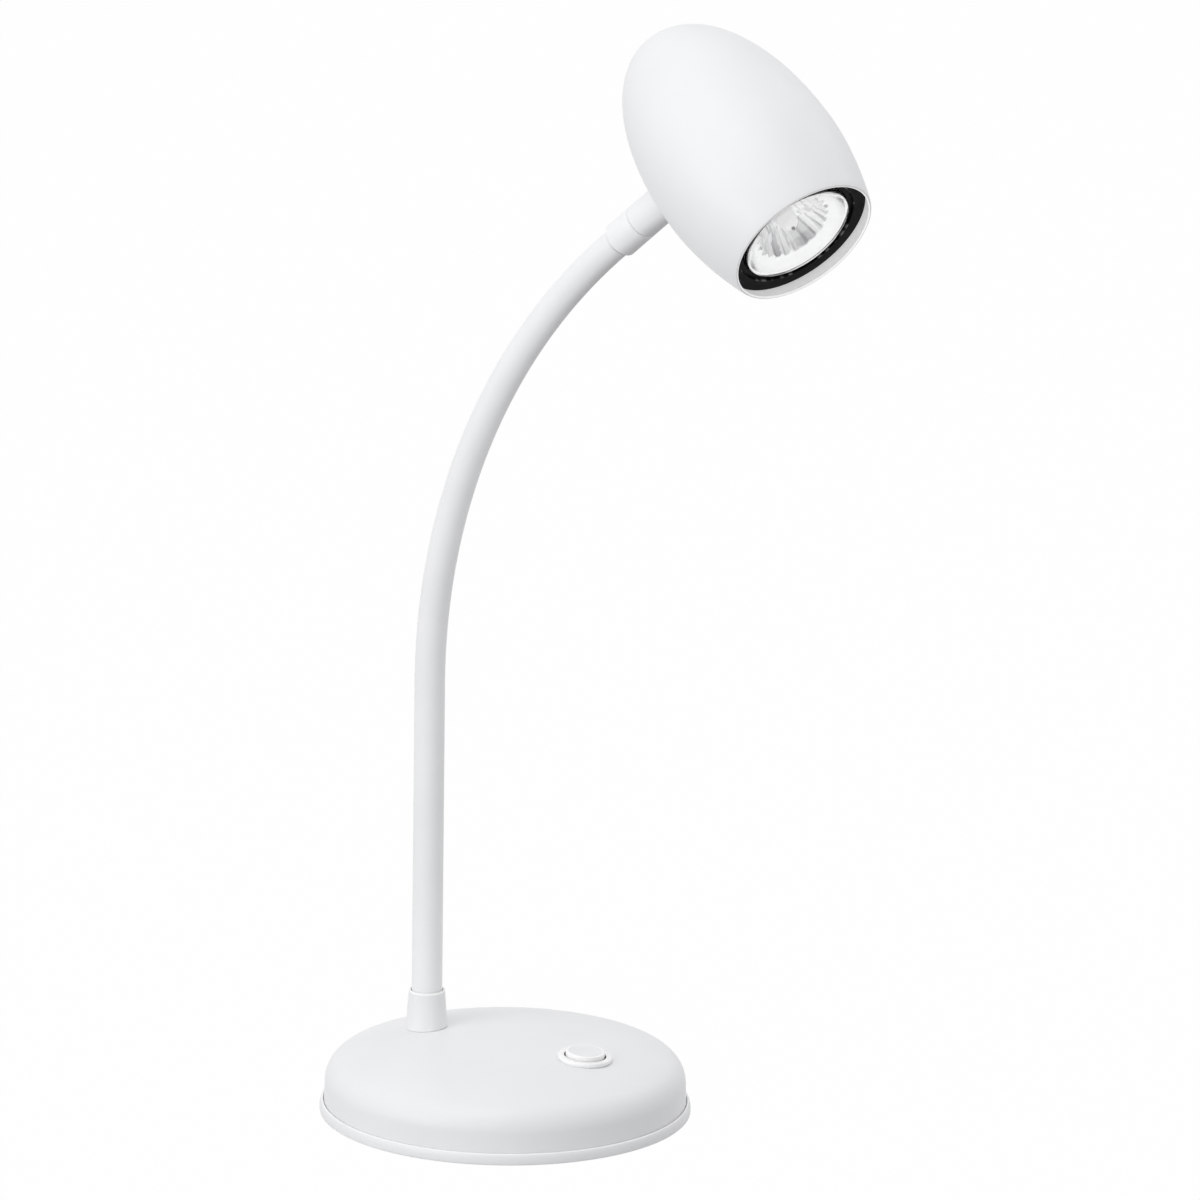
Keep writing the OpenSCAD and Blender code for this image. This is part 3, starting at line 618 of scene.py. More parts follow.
@dataclass(frozen=True)
class Moulding(Finish):
    """Moulded plastic with a fine texture, hairline scuffs and a painted highlight on the edges that the mesh
    marks.
    """

    colour: Colour = (0.872, 0.881, 0.892)
    roughness: float = 0.2
    grain_size: float = 0.6
    grain_depth: float = 0.0005
    gloss: float = 0.5
    scuff: Colour = (0.74, 0.74, 0.74)
    scuffs: float = 0.02
    # The colour of the painted highlight on marked edges.
    edge: Colour = (1.0, 1.0, 1.0)

    def lay(self, bench: Bench) -> None:
        """Builds the moulded colour, its fine texture, scuffs that run one way and the painted highlight on
        marked edges.
        """
        duller = tuple(c * 0.95 for c in self.colour)
        tone = bench.tint(bench.blots(14.0, 3.0, 0.35, 0.7), self.colour, duller)
        lines = bench.grain(1.0, 4.0, bench.stretched(1.0, 6.0, 1.0))
        scuffed = bench.tint(bench.spread(lines, 0.66, 0.74, 0.0, self.scuffs), tone, self.scuff)
        bench.colour(bench.painted_edge_highlight(scuffed, self.edge))
        bench.roughness(bench.blots(5.0, 5.0, 0.3, 0.72, self.roughness - 0.04, self.roughness + 0.07))
        bench.relief(bench.grain(self.grain_size, 2.0), self.grain_depth)
        bench.set(specular_ior_level=self.gloss)


@dataclass(frozen=True)
class Rubber(Finish):
    """Matt rubber or foam with a fine open grain."""

    colour: Colour = (0.022, 0.022, 0.024)
    roughness: float = 0.78
    pore: float = 0.6
    depth: float = 0.08

    def lay(self, bench: Bench) -> None:
        """Builds the dark ground, a greyed bloom and the pores."""
        bloom = tuple(c * 1.9 + 0.01 for c in self.colour)
        bench.colour(bench.tint(bench.blots(18.0, 4.0, 0.4, 0.75), self.colour, bloom))
        bench.roughness(bench.blots(3.0, 4.0, 0.3, 0.7, self.roughness - 0.1, self.roughness + 0.08))
        bench.relief(bench.plus(bench.cells(self.pore), bench.grain(self.pore / 2, 3.0)), self.depth, 0.7)
        bench.set(specular_ior_level=0.35)


@dataclass(frozen=True)
class BareMetal(Finish):
    """Turned, rolled or cast metal, with tool marks and a dull bloom."""

    colour: Colour = (0.62, 0.62, 0.63)
    bloom: Colour = (0.42, 0.42, 0.43)
    roughness: float = 0.34
    grain_size: float = 0.7
    depth: float = 0.015
    rings: bool = True

    def lay(self, bench: Bench) -> None:
        """Builds the metal, its bloom and its tool marks or cast grain."""
        bench.colour(bench.tint(bench.blots(7.0, 5.0, 0.4, 0.7), self.colour, self.bloom))
        bench.roughness(bench.blots(4.0, 5.0, 0.3, 0.7, self.roughness - 0.08, self.roughness + 0.14))
        at = bench.stretched(0.3, 0.3, 1.6) if self.rings else None
        bench.relief(bench.grain(self.grain_size, 3.0, at), self.depth)
        bench.set(metallic=1.0)


@dataclass(frozen=True)
class Silvering(Finish):
    """Vapour-coated silver on fluted glass, with painted reflections that darken its flutes where the mesh
    marks them.
    """

    colour: Colour = (0.98, 0.98, 0.98)
    # The grey of the painted reflections on the flutes.
    shade: Colour = (0.22, 0.22, 0.23)
    roughness: float = 0.1

    def lay(self, bench: Bench) -> None:
        """Builds the bright coat, the painted reflections on its flutes, a faint haze and the pressed glass's
        ripple.
        """
        painted_flute_reflections = bench.mesh_value("fin")
        haze = bench.tint(bench.blots(3.0, 4.0, 0.4, 0.7, 0.0, 0.35), self.colour, (0.92, 0.92, 0.925))
        # The flutes' marks lay painted reflections, dark greys, over the bright coat.
        bench.colour(bench.tint(painted_flute_reflections, haze, self.shade))
        bench.roughness(bench.blots(2.0, 4.0, 0.3, 0.7, self.roughness, self.roughness + 0.12))
        bench.relief(bench.grain(1.6, 2.0), 0.0015)
        bench.set(metallic=1.0)


@dataclass(frozen=True)
class Ceramic(Finish):
    """Unglazed heat-proof ceramic, slightly speckled."""

    colour: Colour = (0.78, 0.76, 0.71)
    roughness: float = 0.55

    def lay(self, bench: Bench) -> None:
        """Builds the warm ground, its specks and a fine pitted relief."""
        tone = bench.tint(bench.blots(9.0, 4.0, 0.35, 0.7), self.colour, (0.70, 0.68, 0.63))
        specks = bench.spread(bench.cells(0.9), 0.08, 0.16, 0.5, 0.0)
        bench.colour(bench.tint(specks, tone, (0.45, 0.42, 0.38)))
        bench.roughness(bench.blots(3.0, 4.0, 0.3, 0.7, self.roughness - 0.08, self.roughness + 0.1))
        bench.relief(bench.grain(0.35, 3.0), 0.02)
        bench.set(specular_ior_level=0.5)


@dataclass(frozen=True)
class ClearGlass(Finish):
    """Pressed glass with a faint swirl, slightly frosted where wanted, with an optional glow that is painted
    light.
    """

    colour: Colour = (0.99, 0.995, 0.995)
    roughness: float = 0.01
    swirl: float = 0.002
    clearness: float = 1.0
    glow: float = 0.0

    def lay(self, bench: Bench) -> None:
        """Builds clear glass with a pressed surface, a trace of dust and, where its glow is set, painted
        light.
        """
        dusty = tuple(c * 0.985 for c in self.colour)
        bench.colour(bench.tint(bench.blots(6.0, 4.0, 0.5, 0.75), self.colour, dusty))
        bench.roughness(bench.blots(4.0, 4.0, 0.4, 0.75, self.roughness, self.roughness + 0.04))
        bench.relief(bench.grain(5.0, 2.0), self.swirl)
        bench.set(transmission_weight=self.clearness, ior=1.5)
        # A glow above zero is painted light: the glass gives off light though the bulb is not lit.
        bench.set(emission_color=WHITE, emission_strength=self.glow)


class Finishes(Enum):
    """Every finish on the lamp."""

    WHITE_PAINT = Paint("white paint", "white_paint")
    # Painted light: a glowing white for the lining inside the shade's lip, which lightens that shaded wall.
    PAINTED_LIP_GLOW = Paint(
        "painted lip glow", "white_paint", colour=(0.92, 0.92, 0.915), roughness=0.3, glow=0.36,
    )
    # A lighter copy of the white paint, painted light for the ferrule and stub, with painted shade on their
    # undersides.
    JOINT_PAINT = Paint(
        "ferrule paint", "white_paint", colour=(0.93, 0.937, 0.945), roughness=0.4, below=0.9,
        shade=(0.27, 0.27, 0.28),
    )
    SLEEVE = Sleeve("neck sleeve", "neck_sleeve")
    WHITE_MOULDING = Moulding("white moulding", "white_plastic")
    # A lighter copy of the white moulding, which paints the bezel as lit.
    BEZEL = Moulding("bright moulding", "white_plastic", colour=(0.975, 0.98, 0.985))
    PAD = Rubber("foot pad", "rubber_pad", colour=(0.03, 0.03, 0.032), roughness=0.86, pore=0.9, depth=0.14)
    RUBBER = Rubber("black rubber", "black_rubber")
    CAST_IRON = BareMetal(
        "cast iron", "raw_iron", colour=(0.16, 0.155, 0.15), bloom=(0.11, 0.085, 0.065),
        roughness=0.62, grain_size=1.4, depth=0.12, rings=False,
    )
    ZINC = BareMetal("zinc-plated steel", "zinc_steel")
    # Its edge colour is a painted highlight on the dark ring's step.
    BLACK_MOULDING = Moulding(
        "heat-proof black", "black_plastic", colour=(0.004, 0.004, 0.0044), roughness=0.42,
        grain_size=0.5, grain_depth=0.003, scuff=(0.05, 0.05, 0.052), scuffs=0.5, gloss=0.05,
        edge=(0.22, 0.22, 0.225),
    )
    CERAMIC = Ceramic("lamp ceramic", "lamp_ceramic")
    CLEAR_GLASS = ClearGlass("clear glass", "clear_glass")
    # Its glow is painted light: the burner shines though the bulb is not lit.
    FROSTED_GLASS = ClearGlass(
        "frosted glass", "clear_glass", colour=(0.96, 0.96, 0.955), roughness=0.3, swirl=0.01,
        clearness=0.2, glow=0.22,
    )
    TUNGSTEN = BareMetal("dark lead wire", "zinc_steel", colour=(0.2, 0.2, 0.21), bloom=(0.1, 0.1, 0.1))
    SILVER = Silvering("silvered glass", "silvered_glass")
    INSULATION = Moulding(
        "wire insulation", "lead_insulation", colour=(0.76, 0.75, 0.71), roughness=0.42, grain_size=0.8,
        grain_depth=0.01,
    )


def dress(piece: Piece, finish: Finishes) -> None:
    """Gives a piece or a CAD node its finish.

    Args:
        piece: The piece to dress.
        finish: One of the lamp's finishes.
    """
    material = finish.value.material()
    if piece.material_slots:
        for slot in piece.material_slots:
            slot.material = material
    else:
        piece.data.materials.append(material)


def dress_nodes(finish: Finishes, *names: str) -> None:
    """Dresses CAD nodes that stay as they are, such as the works inside the base and the head."""
    for name in names:
        dress(frame["nodes"][name], finish)
        log.info("%s keeps its CAD shape, in %s", name, finish.value.name)


def fitted(piece: Piece, body: str, finish: Finishes, *nodes: str) -> Piece:
    """Dresses a piece, lets it ride on its body and puts it in the place of its CAD nodes.

    Args:
        piece: The piece, already in place.
        body: The CAD body that carries it.
        finish: Its finish.
        nodes: The CAD nodes that it stands for.

    Returns:
        The piece.
    """
    dress(piece, finish)
    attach(piece, body)
    if nodes:
        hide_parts(*nodes)
    log.info("%s rides on %s, %d faces", piece.name, body, len(piece.data.polygons))
    return piece


# ---- Base ----


@dataclass
class BaseAssembly:
    """Pressed dome on a bottom plate, with a pad, a cast weight and a lead inlet."""

    plate_d: float = 158.0
    height: float = 32.0
    shell_t: float = 1.2
    rim_step: float = 1.8
    rim_h: float = 4.3
    bead_h: float = 5.4
    crown_r: float = 500.0
    crown_slope: float = 5.16
    shoulder_r: float = 95.0
    edge_r: float = 12.2
    edge_end: float = 88.0
    wall_lean: float = 0.33
    pad_t: float = 1.2
    pad_proud: float = 0.5
    plate_t: float = 2.5
    screw_circle_r: float = 52.0
    foot_x: float = 40.0
    inlet_z: float = 11.8
    inlet_r: float = 3.1
    grommet_r: float = 4.5
    grommet_lip: float = 1.5
    neck_hole_r: float = 5.15
    switch_hole_r: float = 9.95
    screw_hole_r: float = 2.2
    screws: int = 3
    bead_foot: float = 2.0

    @property
    def shell_r(self) -> float:
        """Returns the radius of the shell's edge."""
        return self.plate_d / 2 - self.rim_step

    def dome_z(self, distance: float) -> float:
        """Returns the crown's height at a distance from the base's centre."""
        return self.height - self.crown_r + math.sqrt(self.crown_r**2 - distance**2)

    def dome_outline(self, inset: float, low_z: float) -> Outline:
        """Traces the dome from its centre down to the plate.

        Args:
            inset: How far the line lies inside the dome's surface.
            low_z: Height of the shell's edge.

        Returns:
            The outline's points.
        """
        crown = Vector((0, self.height - self.crown_r))
        shoulder = crown + (self.crown_r - self.shoulder_r) * heading(self.crown_slope)
        edge_reach = self.edge_r * math.sin(math.radians(self.edge_end))
        reach = self.shell_r - self.wall_lean - shoulder.x - edge_reach
        edge_start = math.degrees(math.asin(reach / (self.shoulder_r - self.edge_r)))
        edge = shoulder + (self.shoulder_r - self.edge_r) * heading(edge_start)
        arcs = (
            (crown, self.crown_r, 0.0, self.crown_slope, 16),
            (shoulder, self.shoulder_r, self.crown_slope, edge_start, 22),
            (edge, self.edge_r, edge_start, self.edge_end, 28),
        )
        outline: Outline = [(0.0, self.height - inset)]
        for centre, radius, start, end, steps in arcs:
            for k in range(1, steps + 1):
                point = centre + (radius - inset) * heading(start + (end - start) * k / steps)
                outline.append((point.x, point.y))
        outline.append((self.shell_r - inset, low_z))
        return outline

    def build(self, places: Places) -> None:
        """Builds and dresses the base.

        Args:
            places: Where the button stands.
        """
        self.build_shell(places)
        self.build_plate()
        self.build_pad()
        self.build_grommet()
        dress_nodes(Finishes.CAST_IRON, "ballast_weight")
        dress_nodes(Finishes.ZINC, "base_screws")
        dress_nodes(Finishes.INSULATION, "base_leads")

    def build_shell(self, places: Places) -> None:
        """Builds the dome with its holes for the neck, the button and the lead."""
        seat_z = self.rim_h - 0.4
        outline = self.dome_outline(0.0, seat_z) + self.dome_outline(self.shell_t, seat_z)[::-1]
        shell = turned("shell", outline, HERE, sides=256)
        foot = Matrix.Translation((-self.foot_x * MM, 0, 0))
        wall = Vector((-self.shell_r * MM, 0, self.inlet_z * MM))
        inlet = standing(wall, Vector((1, 0, 0)), Vector((0, 0, 1)))
        bored(
            shell,
            rod(self.neck_hole_r, self.height / 2, self.height + 10, foot),
            rod(self.switch_hole_r, -10, 10, places.switch),
            rod(self.grommet_r + 0.05, -5, 7, inlet),
        )
        fitted(shell, "base", Finishes.WHITE_PAINT, "base_shell")

    def build_plate(self) -> None:
        """Builds the plate with its rounded rim, the groove for the shell and the recess for the pad."""
        rim_r, floor_z = self.plate_d / 2, self.pad_t + self.plate_t
        groove_r, rib_r, seat_z = self.shell_r + 0.3, self.shell_r - self.shell_t - 0.3, self.rim_h - 0.4
        pad_r = rim_r - 5 + 0.3
        bead_r = groove_r + 0.25
        bead = arc((bead_r, self.bead_foot), (rim_r - bead_r, self.bead_h - self.bead_foot), range(0, 91, 9))
        outline = rounded(
            [
                (0, self.pad_t),
                (pad_r, self.pad_t),
                (pad_r, self.pad_proud, 0.25),
                (rim_r, self.pad_proud, 0.6),
                *bead,
                (groove_r, self.bead_h - 0.15),
                (groove_r, seat_z),
                (rib_r, seat_z),
                (rib_r, seat_z + 1.6),
                (rib_r - 1.4, seat_z + 1.6),
                (rib_r - 1.4, floor_z),
                (0, floor_z),
            ]
        )
        plate = turned("plate", outline, HERE, sides=256)
        cutters: list[Piece] = []
        reach = self.screw_circle_r * MM
        for i in range(self.screws):
            around = math.tau / 4 + math.tau * i / self.screws
            spot = (reach * math.cos(around), reach * math.sin(around), 0)
            cutters.append(rod(self.screw_hole_r, 0, 8, Matrix.Translation(spot)))
        bored(plate, *cutters)
        # Marks the bead's top for a painted highlight.
        mark(plate, HERE, lambda point: float(point.xy.length > bead_r - 0.1 and point.z > self.bead_h - 0.3))
        fitted(plate, "base", Finishes.WHITE_PAINT, "base_plate")

    def build_pad(self) -> None:
        """Builds the pad under the plate, with a softened lower edge."""
        radius = self.plate_d / 2 - 5
        outline = rounded([(0, 0), (radius, 0, 0.35), (radius, self.pad_t, 0.1), (0, self.pad_t)], 4)
        fitted(turned("pad", outline, HERE, sides=192), "base", Finishes.PAD, "base_pad")

    def build_grommet(self) -> None:
        """Builds the rubber inlet: a rounded lip outside, a neck in the wall and a lip inside."""
        lip_r = self.grommet_r + 1.6
        outside = Vector((-(self.shell_r + self.grommet_lip) * MM, 0, self.inlet_z * MM))
        place = standing(outside, Vector((1, 0, 0)), Vector((0, 0, 1)))
        inner = self.shell_t + 0.45 + self.grommet_lip

        def against_dome(point: Vector) -> Vector:
            """Keeps the outer lip's back on the dome's round side."""
            across = self.shell_r + 0.05
            on_back = self.grommet_lip * 0.6 < point.z < self.grommet_lip + 0.9
            if on_back and point.xy.length > self.grommet_r + 0.2:
                sink = across - math.sqrt(max(across**2 - point.y**2, 0))
                lean = max(0.0, self.inlet_z + point.x - 8.0)
                return Vector((point.x, point.y, point.z + sink + lean**2 / (2.6 * self.edge_r)))
            return point

        outline = rounded(
            [
                (self.inlet_r, 0, 0.35),
                (lip_r, 0, 0.7),
                (lip_r, self.grommet_lip),
                (self.grommet_r, self.grommet_lip),
                (self.grommet_r, inner),
                (lip_r, inner, 0.3),
                (lip_r, inner + 1.5, 0.5),
                (self.grommet_r, inner + 1.5),
                (self.grommet_r - 0.4, inner + 4, 0.2),
                (self.inlet_r, inner + 4, 0.2),
            ],
            5,
        )
        grommet = turned("lead_inlet", outline, place, sides=72, shaped=against_dome)
        fitted(grommet, "base", Finishes.RUBBER, "cord_grommet")


@dataclass
class SwitchAssembly:
    """Push button in its bezel, with the works below it."""

    bezel_d: float = 23.5
    bezel_h: float = 1.8
    button_d: float = 17.0
    button_h: float = 3.6
    gap: float = 0.5
    barrel_l: float = 12.0
    crown_r: float = 500.0

    def build(self, places: Places) -> None:
        """Builds and dresses the switch.

        Args:
            places: Where the button stands.
        """
        opening = self.button_d / 2 + self.gap
        radius = self.bezel_d / 2

        def on_dome(point: Vector) -> Vector:
            """Lets the bezel's foot follow the dome."""
            if abs(point.z) < 0.02 and point.xy.length > opening + 1:
                return Vector((point.x, point.y, 0.05 - point.xy.length_squared / (2 * self.crown_r)))
            return point

        bezel = rounded(
            [
                (opening, self.bezel_h, 0.35),
                (radius, self.bezel_h, 1.15),
                (radius, 0.4, 0.1),
                (radius - 0.35, 0.3),
                (radius - 0.35, 0.0),
                (opening + 0.8, 0.0),
                (opening + 0.8, -self.barrel_l),
                (opening, -self.barrel_l),
            ],
            8,
        )
        ring = turned("bezel", bezel, places.switch, sides=144, shaped=on_dome)
        fitted(ring, "base", Finishes.BEZEL, "switch_bezel")
        button_r = self.button_d / 2 - 0.15
        cap = rounded(
            [
                (0, self.button_h - 0.2),
                (button_r * 0.62, self.button_h - 0.16),
                (button_r - 1.3, self.button_h - 0.05, 3.0),
                (button_r - 1.0, self.button_h, 0.5),
                (button_r, self.button_h, 0.75),
                (button_r, -4),
                (button_r - 1.3, -4),
                (button_r - 1.3, self.button_h - 2.3),
                (3, self.button_h - 2.3),
                (3, -12.5),
                (0, -12.5),
            ],
            8,
        )
        button = turned("button", cap, places.switch, sides=144)
        # Marks the button's rounded edge and side for a painted highlight.
        mark(button, places.switch, lambda point: float(point.xy.length > button_r - 1.1))
        fitted(button, "button", Finishes.WHITE_MOULDING, "push_button")
        # A black ring just under the gap round the button: painted shade that darkens the gap.
        seal_r, seal_z = button_r + 0.08, self.bezel_h - 0.9
        gap_shade = [(seal_r, 0.0), (opening + 0.2, 0.0), (opening + 0.2, seal_z), (seal_r, seal_z)]
        fitted(turned("button_gap_shade", gap_shade, places.switch, sides=144), "base", Finishes.BLACK_MOULDING)
        dress_nodes(Finishes.ZINC, "switch_nut", "switch_spring")
        dress_nodes(Finishes.BLACK_MOULDING, "switch_body")


# ---- Neck ----


@dataclass
class NeckAssembly:
    """Foot collar, the sleeve in rigid lengths that are split at the neck's joints, and the ferrule."""

    foot_x: float = 40.0
    neck_d: float = 13.0
    sleeve_t: float = 0.6
    sleeve_sides: int = 72
    station_gap: float = 1.6
    ball_ledge: float = 0.03
    ball_steps: int = 12
    collar_h: float = 17.0
    collar_d: float = 17.8
    collar_top_d: float = 15.4
    collar_floor: float = 3.5
    bend_start_z: float = 184.0
    bend_r: float = 287.0
    bend_angle: float = 46.8
    upright_joints: int = 6
    bend_joints: int = 8
    ferrule_d: float = 16.1
    ferrule_l: float = 16.7
    ferrule_start: float = 3.2
    ferrule_edge: float = 1.2
    skirt_l: float = 1.8
    skirt_r: float = 7.0
    nipple_r: float = 5.0
    web_t: float = 3.4

    def centre(self, along: float) -> Matrix:
        """Returns the place at a length along the neck from the desk, with its Z along the neck."""
        straight = Matrix.Translation((-self.foot_x * MM, 0, min(along, self.bend_start_z) * MM))
        angle = max(0.0, along - self.bend_start_z) / self.bend_r
        forward, up = self.bend_r * (1 - math.cos(angle)), self.bend_r * math.sin(angle)
        bend = Matrix.Translation((forward * MM, 0, up * MM))
        return straight @ bend @ Matrix.Rotation(angle, 4, "Y")

    def joint_lengths(self) -> list[float]:
        """Returns how far along the neck each joint lies: the upright ones read from the frame's joints, the
        bent ones spaced evenly along the bend.
        """
        ups = [f"{name}{number}" for number in ("", "_2", "_3") for name in ("neck_lower_bend", "neck_sway")]
        heights = [joint(name)["pos_m"][2] / MM for name in ups]
        step = math.radians(self.bend_angle) * self.bend_r / (self.bend_joints + 1)
        return heights + [self.bend_start_z + step * (k + 1) for k in range(self.bend_joints)]

    def build(self, places: Places, base: BaseAssembly) -> None:
        """Builds and dresses the neck.

        Args:
            places: Where the neck ends.
            base: The base, for the dome under the collar.
        """
        foot_z = base.dome_z(self.foot_x)
        self.build_collar(base, foot_z)
        self.build_sleeve(foot_z)
        self.build_ferrule(places)
        dress_nodes(Finishes.ZINC, "foot_nipple", "foot_washer", "foot_nut")

    def build_collar(self, base: BaseAssembly, foot_z: float) -> None:
        """Builds the tapered collar, whose foot follows the dome over a fine shadow line."""
        low_r, top_r, top_z = self.collar_d / 2, self.collar_top_d / 2, foot_z + self.collar_h
        bore_r = self.neck_d / 2 + 0.4
        bore_floor = foot_z + self.collar_floor

        def on_dome(point: Vector) -> Vector:
            """Lets the collar's foot follow the dome."""
            if point.z > foot_z + 0.9:
                return point
            distance = math.hypot(point.x - self.foot_x, point.y)
            return Vector((point.x, point.y, point.z - foot_z + base.dome_z(distance)))

        outline = rounded(
            [
                (self.nipple_r + 0.05, foot_z + 0.05),
                (low_r - 0.25, foot_z + 0.05),
                (low_r - 0.25, foot_z + 0.22),
                (low_r, foot_z + 0.32, 0.12),
                (low_r - 0.08, foot_z + 0.95),
                (top_r + 0.06, top_z - 1.1),
                (top_r + 0.04, top_z - 0.6, 0.5),
                (top_r - 0.1, top_z, 0.3),
                (bore_r, top_z, 0.3),
                (bore_r, bore_floor),
                (self.nipple_r + 0.05, bore_floor),
            ]
        )
        place = Matrix.Translation((-self.foot_x * MM, 0, 0))
        collar = turned("collar", outline, place, sides=144, shaped=on_dome)
        # Marks the collar's top rim for a painted highlight.
        mark(collar, place, lambda point: float(point.z > top_z - 0.95 and point.xy.length > bore_r - 0.1))
        fitted(collar, "base", Finishes.WHITE_PAINT, "neck_collar")

    def length_of_sleeve(self, name: str, low: float, high: float, capped: bool) -> Piece:
        """Builds one length of the sleeve as a closed thin-walled tube along the neck.

        Args:
            name: The piece's name.
            low: Where it starts along the neck, in millimetres.
            high: Where it ends.
            capped: Whether it starts with a ball end, which fills the bend at its joint.

        Returns:
            The new piece.
        """
        steps = max(4, round((high - low) / self.station_gap))
        stations = [self.centre(low + (high - low) * i / steps) for i in range(steps + 1)]
        outer, inner = self.neck_d / 2, self.neck_d / 2 - self.sleeve_t

        def ring(station: Matrix, radius: float, rise: float = 0.0) -> list[Vector]:
            """Returns the points of a ring round the neck, or its one point on the axis."""
            return [station @ (point * MM) / MM for point in circle(radius, rise, self.sleeve_sides)]

        def ball(radius: float) -> list[list[Vector]]:
            """Returns the rings of a half ball from its pole to the joint's plane."""
            turns = [math.tau / 4 * (k / self.ball_steps - 1) for k in range(1, self.ball_steps + 1)]
            widening = [ring(stations[0], radius * math.cos(a), radius * math.sin(a)) for a in turns]
            return [ring(stations[0], 0.0, -radius), *widening]

        walls = [ring(station, outer) for station in stations]
        walls += [ring(station, inner) for station in stations[::-1]]
        if not capped:
            return skin(name, walls, HERE, looped=True)
        rings = ball(outer - self.ball_ledge) + walls + ball(inner)[-2::-1]
        return skin(name, rings, HERE, looped=False)

    def build_sleeve(self, foot_z: float) -> None:
        """Builds the sleeve's lengths, split at the neck's joints, each with a ball end in the one below."""
        end = self.bend_start_z + math.radians(self.bend_angle) * self.bend_r
        cuts = [foot_z + self.collar_floor + 0.1, *self.joint_lengths(), end + self.ferrule_start + 2]
        for i, (low, high) in enumerate(zip(cuts, cuts[1:])):
            piece = self.length_of_sleeve(f"sleeve_{i:02d}", low, high, capped=i > 0)
            fitted(piece, f"neck_{i}" if i else "base", Finishes.SLEEVE, f"neck_segment_{i}")

    def build_ferrule(self, places: Places) -> None:
        """Builds the ferrule on the neck's end, with its tapered foot and its web."""
        radius, bore_r, top = self.ferrule_d / 2, self.neck_d / 2 + 0.1, self.ferrule_l - 0.15
        outline = rounded(
            [
                (bore_r, self.ferrule_start),
                (bore_r + 0.5, self.ferrule_start, 0.2),
                (radius, self.ferrule_start + self.ferrule_edge, 0.7),
                (radius, self.ferrule_l + self.skirt_l, 0.25),
                (self.skirt_r, self.ferrule_l + self.skirt_l),
                (self.skirt_r, top),
                (self.nipple_r + 0.05, top),
                (self.nipple_r + 0.05, top - self.web_t),
                (bore_r, top - self.web_t),
            ]
        )
        ferrule = turned("ferrule", outline, places.neck_end, sides=128)
        last = f"neck_{self.upright_joints + self.bend_joints}"
        fitted(ferrule, last, Finishes.JOINT_PAINT, "neck_ferrule")


# ---- Head and bulb ----


